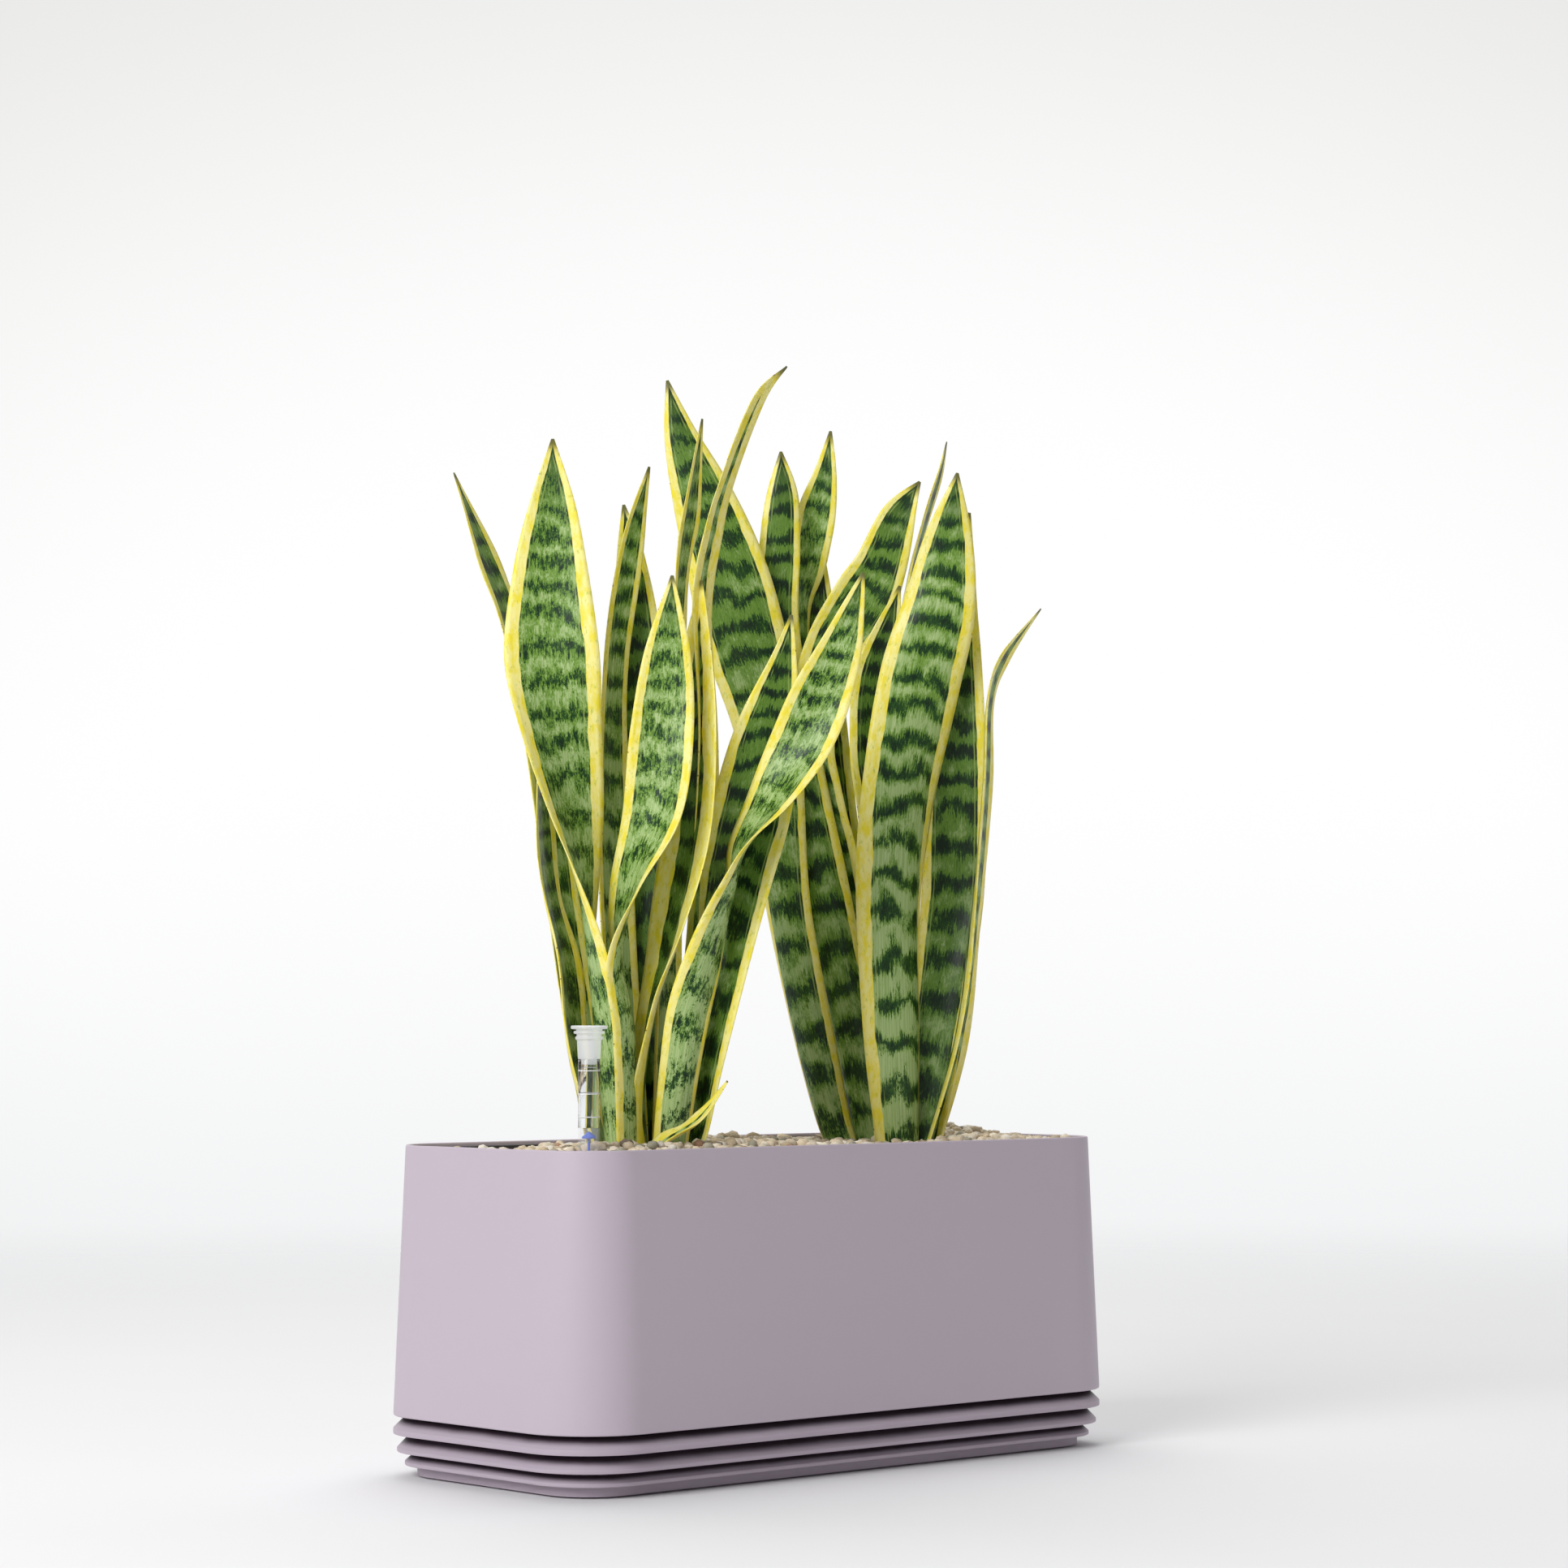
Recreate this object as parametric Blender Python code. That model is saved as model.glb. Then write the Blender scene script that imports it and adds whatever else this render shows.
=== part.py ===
"""Self-watering planter with a louvred base, an inner pot, a water gauge and two plants.

Metres, +Z up.  The origin is the middle of the footprint on the floor, and the
planter's long side runs along X.
"""
import math

import bmesh
import bpy
from mathutils import Matrix, Vector

MM = 0.001

# Driving dimensions, in millimetres.
LENGTH = 500.0            # outer shell at its lower edge, along X
WIDTH = 225.0             # outer shell at its lower edge, along Y
CORNER = 51.0             # corner radius of that outline
SHELL_BOTTOM = 40.0
RIM = 216.0
RIM_INSET = 7.1           # how far the rim lies inside the lower edge
WALL = 3.0
GAP = 0.3                 # working clearance between pieces that touch
CORNER_STEPS = 5
ROUND_STEPS = 16

# Reservoir, base and louvres.
FOOT_INSET = 15.9
FLOOR_CLEARANCE = 1.0     # base frame above the floor, on its pads
TRAY_BOTTOM = 3.8
TRAY_RIM = 62.0
PAD_RADIUS = 9.0
PAD_POSITIONS = ((-190.0, -68.0), (190.0, -68.0), (190.0, 68.0), (-190.0, 68.0))
# name, inset of the tip, underside of the tip, top of the tip, inset and height of the inner edge
LOUVRES = (
    ("upper_louvre", 0.0, 28.1, 31.6, 7.4, 38.7),
    ("middle_louvre", 2.5, 16.6, 18.9, 9.9, 26.5),
    ("lower_louvre", 7.7, 7.8, 10.0, 13.3, 14.7),
)
POST_PITCH = 55.0
POST_WIDTH = 8.0

# Inner pot and what it holds.
LEDGE = 201.0             # top of the ledge that the pot's bead hangs on
POT_BOTTOM = 58.0
POT_FLOOR = 60.4
POT_RIM = 213.2
CUP_X = 110.0
CUP_RADIUS = 23.5
WICK_RADIUS = 7.0
GRID_Z = 70.0
FLEECE_Z = 73.3
MEDIUM_BOTTOM = 75.1
MEDIUM_TOP = 194.0
PEBBLE_TOP = 212.0
ROOT_BOTTOM = 100.3
ROOT_RADII = (47.7, 57.7)
CROWN_RADIUS = 46.0

# Water gauge.
GAUGE_XY = (-202.5, -63.0)
GAUGE_RADIUS = 6.9
GAUGE_BORE = 5.7
SLEEVE_RADIUS = 9.6
GAUGE_BOTTOM = 9.0
WINDOW_BOTTOM = 229.3
WINDOW_TOP = 272.6
GAUGE_TOP = 294.0

# Plants.  Each clump has its own frame, turned against the long side: "across" runs
# to the right of somebody facing the corner, "away" runs from them, height is from the floor.
VIEW_TURN = math.radians(42.4)
CLUMPS = {"left": (-116.0, 0.0), "right": (108.0, 0.0)}
CROWN_SHIFT = 7.0         # middle of each crown, across from the clump's reference point
LEAF_THICKNESS = 3.0
BASE_CURL = 105.0         # degrees of arc across a leaf where it leaves the crown
TIP_CURL = 28.0

# Each leaf: (across, away, height, width, turn in degrees) from the crown to the tip.
LEFT_LEAVES = {
    "far_left": ((-20, 25, 205, 26, 30), (-42, 25, 330, 34, 45), (-61, 22, 470, 34, 55),
                 (-82, 20, 563, 28, 58), (-99, 20, 611, 24, 58), (-120, 20, 667, 2, 58)),
    "tall_front": ((-9, -18, 205, 34, 130), (-18, -26, 294, 42, 122), (-24, -29, 334, 44, 105),
                   (-30, -30, 380, 48, 80), (-39, -28, 438, 54, 48), (-47, -24, 490, 60, 25),
                   (-51, -20, 543, 64, 0), (-52, -18, 597, 50, 0), (-51, -18, 640, 31, 0),
                   (-51, -18, 684, 2, 0)),
    "left_edge": ((-18, 0, 205, 26, 60), (-36, 0, 270, 32, 65), (-43, 0, 332, 34, 68),
                  (-54, 0, 382, 32, 70), (-59, 0, 436, 28, 72), (-60, 0, 500, 2, 70)),
    "back_slim": ((0, 22, 205, 26, 20), (-10, 25, 330, 34, 45), (-14, 22, 450, 32, 50),
                  (-11, 20, 540, 24, 48), (0, 20, 618, 20, 40), (12, 20, 671, 2, 40)),
    "back_dark": ((8, 30, 205, 30, 0), (6, 42, 400, 38, 0), (4, 42, 540, 34, 0),
                  (-1, 40, 610, 20, 0), (-6, 40, 648, 2, 0)),
    "middle_front": ((4, -22, 205, 30, -110), (2, -34, 290, 36, -108), (-5, -34, 338, 40, -92),
                     (3, -32, 386, 44, -60), (18, -30, 434, 46, -25), (23, -30, 488, 43, -8),
                     (26, -30, 540, 31, 0), (29, -30, 591, 2, 0)),
    "wide_margin": ((12, -10, 205, 30, -95), (9, -15, 250, 36, -88), (16, -15, 305, 38, -72),
                    (29, -15, 355, 42, -55), (41, -12, 425, 44, -40), (44, -10, 500, 40, -35),
                    (48, -10, 590, 2, -35)),
    "tall_hook": ((30, 0, 205, 26, 30), (44, 0, 350, 30, 50), (50, -5, 480, 26, 58),
                  (47, -5, 572, 24, 58), (55, -5, 625, 20, 56), (65, -5, 660, 17, 54),
                  (86, -5, 713, 12, 50), (105, -5, 735, 2, 50)),
    "back_needle": ((20, 12, 205, 24, 40), (25, 12, 400, 28, 60), (30, 10, 540, 20, 62),
                    (34, 10, 600, 18, 58), (40, 10, 640, 19, 56), (48, 10, 702, 2, 50)),
    "right_twist": ((28, -22, 205, 26, -165), (36, -25, 267, 31, -160), (43, -25, 305, 35, -150),
                    (55, -24, 341, 38, -128), (68, -22, 381, 42, -100), (76, -20, 411, 44, -75),
                    (93, -16, 439, 44, -45), (113, -12, 477, 44, -15), (127, -9, 511, 41, 0),
                    (140, -7, 543, 30, 0), (149, -5, 572, 16, 0), (156, -5, 596, 2, 0)),
    "right_dark": ((34, 2, 205, 28, -25), (42, 1, 225, 34, -25), (48, 0, 270, 40, -22),
                   (59, 0, 327, 44, -16), (71, 0, 392, 52, -8), (82, 0, 441, 54, 0),
                   (92, 0, 490, 44, 5), (103, 0, 540, 17, 8), (108, 0, 568, 2, 0)),
    "low_curl": ((10, -24, 207, 16, -70), (26, -38, 219, 17, -66), (47, -48, 233, 14, -60),
                 (66, -50, 258, 2, -50)),
}
RIGHT_LEAVES = {
    "long_left": ((-22, 5, 205, 28, -25), (-30, 5, 225, 32, -25), (-41, 5, 270, 36, -25),
                  (-52, 5, 322, 38, -25), (-62, 4, 384, 38, -20), (-68, 2, 450, 42, -10),
                  (-74, 0, 510, 52, 0),
                  (-91, 0, 573, 61, 0), (-104, 0, 622, 57, 0), (-120, 0, 670, 44, 0),
                  (-135, 0, 712, 25, 0), (-145, 0, 753, 2, 0)),
    "left_inner": ((-1, 8, 205, 36, -20), (-15, 8, 291, 45, -20), (-26, 8, 342, 42, -18),
                   (-38, 10, 400, 42, -12), (-52, 16, 470, 40, -6), (-67, 20, 572, 34, 0),
                   (-65, 20, 634, 30, 0), (-63, 20, 674, 23, 0), (-64, 20, 705, 2, 0)),
    "back_twist": ((2, 30, 205, 26, 0), (-15, 40, 350, 32, 30), (-36, 42, 470, 34, 50),
                   (-48, 42, 541, 34, 65), (-51, 40, 596, 30, 60), (-44, 40, 632, 28, 20),
                   (-38, 40, 664, 28, 0), (-32, 40, 692, 17, 0), (-28, 40, 723, 2, 0)),
    "back_shadow": ((14, 34, 205, 24, 0), (-20, 52, 400, 34, 0), (-34, 54, 520, 34, 0),
                    (-38, 54, 590, 27, 0), (-35, 52, 645, 2, 0)),
    "right_lean": ((10, 18, 205, 28, 0), (-8, 26, 300, 32, 0), (-24, 29, 400, 36, 0),
                   (-36, 28, 450, 36, 0), (-44, 25, 500, 38, 0), (-27, 17, 559, 44, 0),
                   (-6, 10, 595, 47, 0), (7, 8, 621, 38, 0), (20, 5, 657, 25, 0), (35, 5, 681, 2, 0)),
    "big_front": ((23, -22, 205, 42, 32), (20, -30, 289, 58, 36), (18, -30, 380, 64, 38),
                  (22, -30, 455, 64, 32), (34, -30, 533, 61, 12), (47, -30, 587, 52, 0),
                  (54, -30, 637, 34, 0), (60, -30, 682, 2, 0)),
    "right_dark": ((32, -4, 205, 34, 0), (41, -4, 270, 40, 0), (49, -3, 326, 44, 0),
                   (57, 0, 388, 46, 0), (59, 0, 465, 46, 0), (60, 0, 540, 38, 0),
                   (62, 0, 590, 27, 0), (65, 0, 625, 17, 0), (70, 0, 658, 2, 0)),
    "far_right": ((38, -8, 206, 20, 60), (59, -15, 283, 26, 72), (71, -18, 370, 26, 75),
                  (79, -20, 460, 24, 75), (82, -20, 520, 22, 72), (93, -20, 553, 18, 65),
                  (119, -20, 587, 2, 60)),
    "back_edge": ((22, 22, 205, 24, 60), (21, 24, 400, 28, 70), (22, 22, 560, 26, 76),
                  (28, 20, 612, 22, 76), (39, 20, 655, 18, 76), (50, 20, 691, 12, 72),
                  (55, 20, 712, 2, 70)),
    "middle_dark": ((14, -6, 205, 28, 0), (10, -9, 340, 36, 0), (8, -9, 435, 36, 0),
                    (2, -9, 487, 36, 0), (5, -9, 545, 32, 0), (20, -6, 605, 2, 0)),
}
# Leaves that turn their outer, rounded side to the corner are curled further round.
CONVEX_LEAVES = ("big_front", "long_left", "left_inner")
CONVEX_CURL = 140.0


def clear_scene():
    """Start from an empty file."""
    for obj in list(bpy.data.objects):
        bpy.data.objects.remove(obj, do_unlink=True)


def material(name, colour, roughness, metallic=0.0, alpha=1.0):
    """A plain finish for one piece."""
    made = bpy.data.materials.new(name)
    made.use_nodes = True
    shader = made.node_tree.nodes["Principled BSDF"]
    shader.inputs["Base Color"].default_value = (*colour, 1.0)
    shader.inputs["Roughness"].default_value = roughness
    shader.inputs["Metallic"].default_value = metallic
    shader.inputs["Alpha"].default_value = alpha
    return made


def add_object(name, bm, finish=None, place=(0.0, 0.0, 0.0), smooth=True):
    """Close the bmesh into a named object whose origin is at `place`, in millimetres."""
    bmesh.ops.recalc_face_normals(bm, faces=bm.faces)
    if bm.calc_volume(signed=True) < 0.0:
        bmesh.ops.reverse_faces(bm, faces=bm.faces)
    bm.transform(Matrix.Scale(MM, 4))
    mesh = bpy.data.meshes.new(name)
    bm.to_mesh(mesh)
    bm.free()
    if smooth:
        mesh.shade_smooth()
        mesh.set_sharp_from_angle(angle=math.radians(32.0))
    obj = bpy.data.objects.new(name, mesh)
    obj.location = Vector(place) * MM
    bpy.context.scene.collection.objects.link(obj)
    if finish is not None:
        mesh.materials.append(finish)
    return obj


def outline_points(inset):
    """Corner points of the rounded rectangle that lies `inset` inside the lower edge."""
    half_x = LENGTH / 2 - inset
    half_y = WIDTH / 2 - inset
    radius = max(CORNER - inset, 4.0)
    points = []
    for quarter, (sx, sy) in enumerate(((1, 1), (-1, 1), (-1, -1), (1, -1))):
        cx = sx * (half_x - radius)
        cy = sy * (half_y - radius)
        for step in range(CORNER_STEPS + 1):
            angle = math.radians(90.0) * (quarter + step / CORNER_STEPS)
            points.append((cx + radius * math.cos(angle), cy + radius * math.sin(angle)))
    return points


def join_rings(bm, first, second):
    """Skin two rings of vertices that run the same way round."""
    for index in range(len(first)):
        bm.faces.new((first[index - 1], first[index], second[index], second[index - 1]))


def sweep_profile(bm, profile, closed):
    """Carry a profile of (inset, height) points round the planter's outline."""
    loops = [[bm.verts.new((x, y, z)) for x, y in outline_points(inset)] for inset, z in profile]
    for first, second in zip(loops, loops[1:]):
        join_rings(bm, first, second)
    if closed:
        join_rings(bm, loops[-1], loops[0])
    else:
        bm.faces.new(loops[0])
        bm.faces.new(loops[-1])


def swept_body(name, profile, finish, closed=True):
    """A ring (closed profile) or a tub or block (open profile with both ends capped)."""
    bm = bmesh.new()
    sweep_profile(bm, profile, closed)
    return add_object(name, bm, finish)


def turned_mesh(profile, steps=ROUND_STEPS):
    """Spin a profile of (radius, height) points about Z; a radius of 0 closes on the axis."""
    bm = bmesh.new()
    verts = [bm.verts.new((radius, 0.0, z)) for radius, z in profile]
    edges = [bm.edges.new(pair) for pair in zip(verts, verts[1:])]
    if profile[0][0] > 0.0:
        edges.append(bm.edges.new((verts[-1], verts[0])))
    bmesh.ops.spin(bm, geom=verts + edges, cent=(0, 0, 0), axis=(0, 0, 1), angle=math.tau,
                   steps=steps, use_merge=True)
    bmesh.ops.remove_doubles(bm, verts=bm.verts, dist=0.001)
    return bm


def turned_body(name, profile, finish, place=(0.0, 0.0, 0.0), steps=ROUND_STEPS):
    return add_object(name, turned_mesh(profile, steps), finish, place)


def box_mesh(boxes):
    """Boxes of (centre, size, turn about Z) in one mesh."""
    bm = bmesh.new()
    for centre, size, turn in boxes:
        made = bmesh.ops.create_cube(bm, size=1.0)
        place = Matrix.Translation(centre) @ Matrix.Rotation(turn, 4, "Z") @ Matrix.Diagonal((*size, 1.0))
        bmesh.ops.transform(bm, matrix=place, verts=made["verts"])
    return bm


def helper(name, bm, place=(0.0, 0.0, 0.0)):
    """A cutter or a shape to join, which isn't a piece itself."""
    obj = add_object(name, bm, None, place, smooth=False)
    obj.hide_render = True
    obj.display_type = "WIRE"
    return obj


def combine(obj, other, operation):
    """Cut `other` out of the piece, or join it on."""
    boolean = obj.modifiers.new(other.name, "BOOLEAN")
    boolean.operation = operation
    boolean.solver = "EXACT"
    boolean.object = other


def parent_to(child, parent):
    child.parent = parent


def rim_inset(z):
    """Inset of the shell's outer face at a height."""
    return RIM_INSET * (z - SHELL_BOTTOM) / (RIM - SHELL_BOTTOM)


def pot_inset(z):
    """Inset of the inner pot's inner face below its bead."""
    return 28.2 + (17.4 - 28.2) * (z - 62.5) / (199.5 - 62.5)


def walk_outline(inset, pitch):
    """Evenly spaced places round the outline, as (x, y, heading)."""
    points = outline_points(inset)
    total = sum(math.dist(a, b) for a, b in zip(points, points[1:] + points[:1]))
    count = round(total / pitch)
    places = []
    travelled = 0.0
    for a, b in zip(points, points[1:] + points[:1]):
        length = math.dist(a, b)
        while len(places) < count and len(places) * total / count <= travelled + length:
            part = (len(places) * total / count - travelled) / length
            heading = math.atan2(b[1] - a[1], b[0] - a[0])
            places.append((a[0] + part * (b[0] - a[0]), a[1] + part * (b[1] - a[1]), heading))
        travelled += length
    return places


def make_base_frame():
    """Foot ring and upright wall with a flange under the tray, windows and pad recesses."""
    low, top = FLOOR_CLEARANCE, 38.4
    frame = swept_body("base_frame", ((FOOT_INSET, low), (FOOT_INSET, top), (FOOT_INSET + 2, top),
                                      (FOOT_INSET + 2, 3.5), (45, 3.5), (45, low)),
                       material("base_plastic", (0.43, 0.36, 0.42), 0.5))
    window_z, window_height = 32.0, 6.0
    boxes = [((x, 0, window_z), (36, WIDTH + 20, window_height), 0) for x in (-150, -90, -30, 30, 90, 150)]
    boxes += [((0, y, window_z), (LENGTH + 20, 30, window_height), 0) for y in (-34, 34)]
    for index, box in enumerate(boxes):
        combine(frame, helper(f"cut_window_{index}", box_mesh([box])), "DIFFERENCE")
    for index, (x, y) in enumerate(PAD_POSITIONS):
        recess = turned_mesh(((0, -1), (PAD_RADIUS + GAP, -1), (PAD_RADIUS + GAP, 2.2), (0, 2.2)))
        combine(frame, helper(f"cut_recess_{index}", recess, (x, y, 0)), "DIFFERENCE")
    return frame


def make_pads():
    rubber = material("pad_rubber", (0.03, 0.03, 0.03), 0.8)
    profile = ((0, 0), (PAD_RADIUS - 1, 0), (PAD_RADIUS, 0.8), (PAD_RADIUS, 1.9), (0, 1.9))
    for index, (x, y) in enumerate(PAD_POSITIONS):
        turned_body(f"foot_pad_{index + 1}", profile, rubber, (x, y, 0))


def make_louvres():
    """Three sloping rings; the upper one carries the posts that the shell stands on."""
    plastic = material("louvre_plastic", (0.45, 0.38, 0.44), 0.5)
    seat = FOOT_INSET - GAP
    for name, tip, under, top, inner, height in LOUVRES:
        profile = ((tip + 0.6, under), (tip, under + 0.8), (tip, top - 0.8), (tip + 0.7, top),
                   (inner, height), (seat, height), (seat, height - 2.2), (inner + 1.0, height - 2.2),
                   (tip + 3.2, under))
        ring = swept_body(name, profile, plastic)
        if name == "upper_louvre":
            low, high = 37.5, SHELL_BOTTOM - GAP
            boxes = [((x, y, (low + high) / 2), (POST_WIDTH, 3.6, high - low), heading)
                     for x, y, heading in walk_outline(10.5, POST_PITCH)]
            combine(ring, helper("join_posts", box_mesh(boxes)), "UNION")


def make_tray():
    """Water reservoir with an outward rim."""
    profile = ((24, TRAY_BOTTOM), (19.5, 8), (18.5, 60), (16.6, 60), (16.6, TRAY_RIM), (20.6, TRAY_RIM),
               (21.6, 12), (25, 6.6))
    swept_body("reservoir_tray", profile, material("tray_plastic", (0.05, 0.05, 0.055), 0.45), closed=False)


def make_shell():
    """Outer shell with a rounded rim and an inner ledge for the pot."""
    rim_outer = rim_inset(RIM)
    profile = ((0.5, SHELL_BOTTOM), (0, SHELL_BOTTOM + 0.7), (rim_inset(214.8), 214.8),
               (rim_outer + 0.5, 215.7), (rim_outer + 1.4, RIM), (rim_outer + 2.2, 215.6),
               (rim_outer + 2.6, 214.8), (rim_inset(LEDGE) + WALL, LEDGE), (14.6, LEDGE), (14.6, 199.4),
               (rim_inset(193) + WALL, 193), (WALL, SHELL_BOTTOM + 0.7), (WALL - 0.5, SHELL_BOTTOM))
    return swept_body("outer_shell", profile, material("shell_plastic", (0.55, 0.47, 0.54), 0.42))


def make_pot():
    """Inner pot: hanging bead, tapering wall, floor with two cup holes and a gauge hole."""
    profile = ((29, POT_BOTTOM), (26, 60.5), (15.2, 199.8), (15.2, LEDGE + GAP), (10.3, LEDGE + GAP),
               (10.3, 203.8), (12.2, 204.2), (11.4, POT_RIM), (13.4, POT_RIM), (14.4, 204),
               (pot_inset(199.5), 199.5), (pot_inset(62.5), 62.5), (30.2, POT_FLOOR))
    pot = swept_body("inner_pot", profile, material("pot_plastic", (0.045, 0.042, 0.045), 0.5), closed=False)
    holes = [(x, 0, CUP_RADIUS + GAP) for x in (-CUP_X, CUP_X)] + [(*GAUGE_XY, GAUGE_RADIUS + 0.9)]
    for index, (x, y, radius) in enumerate(holes):
        hole = turned_mesh(((0, 50), (radius, 50), (radius, 66), (0, 66)))
        combine(pot, helper(f"cut_pot_hole_{index}", hole, (x, y, 0)), "DIFFERENCE")
    return pot


def make_cups_and_wicks():
    """Slotted cups that dip into the water, each with a felt wick standing in it."""
    cup_finish = material("cup_plastic", (0.06, 0.06, 0.065), 0.5)
    felt = material("wick_felt", (0.75, 0.73, 0.68), 0.95)
    low, lip = 8.0, POT_FLOOR + GAP
    bottom = CUP_RADIUS - 5
    profile = ((0, low), (bottom, low), (CUP_RADIUS, lip), (CUP_RADIUS + 5, lip), (CUP_RADIUS + 5, lip + 1.6),
               (CUP_RADIUS - 2, lip + 1.6), (bottom - 2, low + 2), (0, low + 2))
    for side, x in (("left", -CUP_X), ("right", CUP_X)):
        cup = turned_body(f"{side}_wick_cup", profile, cup_finish, (x, 0, 0))
        for index in range(3):
            box = ((0, 0, 28), (80, 4, 24), math.radians(60 * index + 30))
            combine(cup, helper(f"cut_{side}_slot_{index}", box_mesh([box]), (x, 0, 0)), "DIFFERENCE")
        turned_body(f"{side}_wick", ((0, low + 2.3), (WICK_RADIUS, low + 2.3), (WICK_RADIUS, 91), (0, 91)),
                    felt, (x, 0, 0), steps=12)


def cut_rounds(obj, name, holes, low, high, steps=ROUND_STEPS):
    """Cut straight round holes of (x, y, radius)."""
    for index, (x, y, radius) in enumerate(holes):
        hole = turned_mesh(((0, low), (radius, low), (radius, high), (0, high)), steps)
        combine(obj, helper(f"cut_{name}_{index}", hole, (x, y, 0)), "DIFFERENCE")


def cut_gauge_corner(obj, name, low, high):
    """Leave the corner that the gauge sleeve stands in free, out to the pot's wall."""
    reach = SLEEVE_RADIUS + GAP
    right, back = GAUGE_XY[0] + reach, GAUGE_XY[1] + reach
    centre = ((right - LENGTH) / 2, (back - WIDTH) / 2, (low + high) / 2)
    box = (centre, (LENGTH + right, WIDTH + back, high - low), 0)
    combine(obj, helper(f"cut_{name}_corner", box_mesh([box])), "DIFFERENCE")


def wick_holes():
    """Where the wicks pass through the layers."""
    return [(x, 0, WICK_RADIUS + 0.6) for x in (-CUP_X, CUP_X)]


def make_grid():
    """Drainage grid: a slotted plate on short legs above the pot's floor."""
    inset = pot_inset(GRID_Z) + 0.5
    grid = swept_body("drainage_grid", ((inset, GRID_Z), (inset, GRID_Z + 3)),
                      material("grid_plastic", (0.07, 0.07, 0.075), 0.5), closed=False)
    for index, (x, y) in enumerate(((x, y) for x in (-182, -92, 0, 92, 182) for y in (-66, 66))):
        leg = turned_mesh(((0, POT_FLOOR + GAP), (4, POT_FLOOR + GAP), (4, GRID_Z + 1), (0, GRID_Z + 1)), 8)
        combine(grid, helper(f"join_leg_{index}", leg, (x, y, 0)), "UNION")
    boxes = [((x, 0, GRID_Z + 1.5), (6, 110, 12), 0) for x in (-165, -150, -135, 135, 150, 165)]
    boxes += [((x, 0, GRID_Z + 1.5), (6, 110, 12), 0) for x in range(-75, 76, 15)]
    combine(grid, helper("cut_grid_slots", box_mesh(boxes)), "DIFFERENCE")
    cut_rounds(grid, "grid_hole", wick_holes(), GRID_Z - 20, GRID_Z + 20)
    cut_gauge_corner(grid, "grid", GRID_Z - 1, GRID_Z + 20)


def make_fleece():
    inset = pot_inset(FLEECE_Z) + 0.5
    fleece = swept_body("separating_fleece", ((inset, FLEECE_Z), (inset, FLEECE_Z + 1.5)),
                        material("fleece", (0.6, 0.6, 0.58), 0.95), closed=False)
    cut_rounds(fleece, "fleece_hole", wick_holes(), FLEECE_Z - 10, FLEECE_Z + 10)
    cut_gauge_corner(fleece, "fleece", FLEECE_Z - 10, FLEECE_Z + 10)


def crown_place(side):
    """Middle of a clump's crown on the plan."""
    x, y = CLUMPS[side]
    return x + CROWN_SHIFT * math.cos(VIEW_TURN), y - CROWN_SHIFT * math.sin(VIEW_TURN)


def make_medium():
    """Growing medium with pockets for the root balls, the wicks and the gauge sleeve."""
    block = ((pot_inset(MEDIUM_BOTTOM) + 0.5, MEDIUM_BOTTOM), (pot_inset(MEDIUM_TOP) + 0.5, MEDIUM_TOP))
    medium = swept_body("growing_medium", block, material("growing_medium", (0.06, 0.035, 0.02), 0.95),
                        closed=False)
    low, high = ROOT_RADII
    rise = (high - low) / (MEDIUM_TOP + GAP - ROOT_BOTTOM)
    for side in CLUMPS:
        pocket = turned_mesh(((0, ROOT_BOTTOM - GAP), (low + GAP, ROOT_BOTTOM - GAP),
                              (high + GAP + rise * 10, MEDIUM_TOP + 10), (0, MEDIUM_TOP + 10)))
        combine(medium, helper(f"cut_{side}_pocket", pocket, (*crown_place(side), 0)), "DIFFERENCE")
    for index, x in enumerate((-CUP_X, CUP_X)):
        hole = turned_mesh(((0, 60), (WICK_RADIUS + 0.6, 60), (WICK_RADIUS + 0.6, 92), (0, 92)), 12)
        combine(medium, helper(f"cut_wick_hole_{index}", hole, (x, 0, 0)), "DIFFERENCE")
    cut_gauge_corner(medium, "medium", 60, 220)


def make_pebbles():
    """Top layer of pebbles, slightly heaped, open round the crowns and the gauge."""
    low = MEDIUM_TOP + 0.6
    profile = ((pot_inset(low) + 0.5, low), (pot_inset(199.5) + 0.6, 199.5), (15.0, 204.2), (14.4, 208.5),
               (26, 210.8), (45, PEBBLE_TOP))
    pebbles = swept_body("pebble_layer", profile, material("pebbles", (0.6, 0.53, 0.44), 0.85), closed=False)
    holes = [(*crown_place(side), CROWN_RADIUS + GAP) for side in CLUMPS]
    cut_rounds(pebbles, "pebble_hole", holes, 180, 230)
    cut_gauge_corner(pebbles, "pebble", 180, 230)


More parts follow.
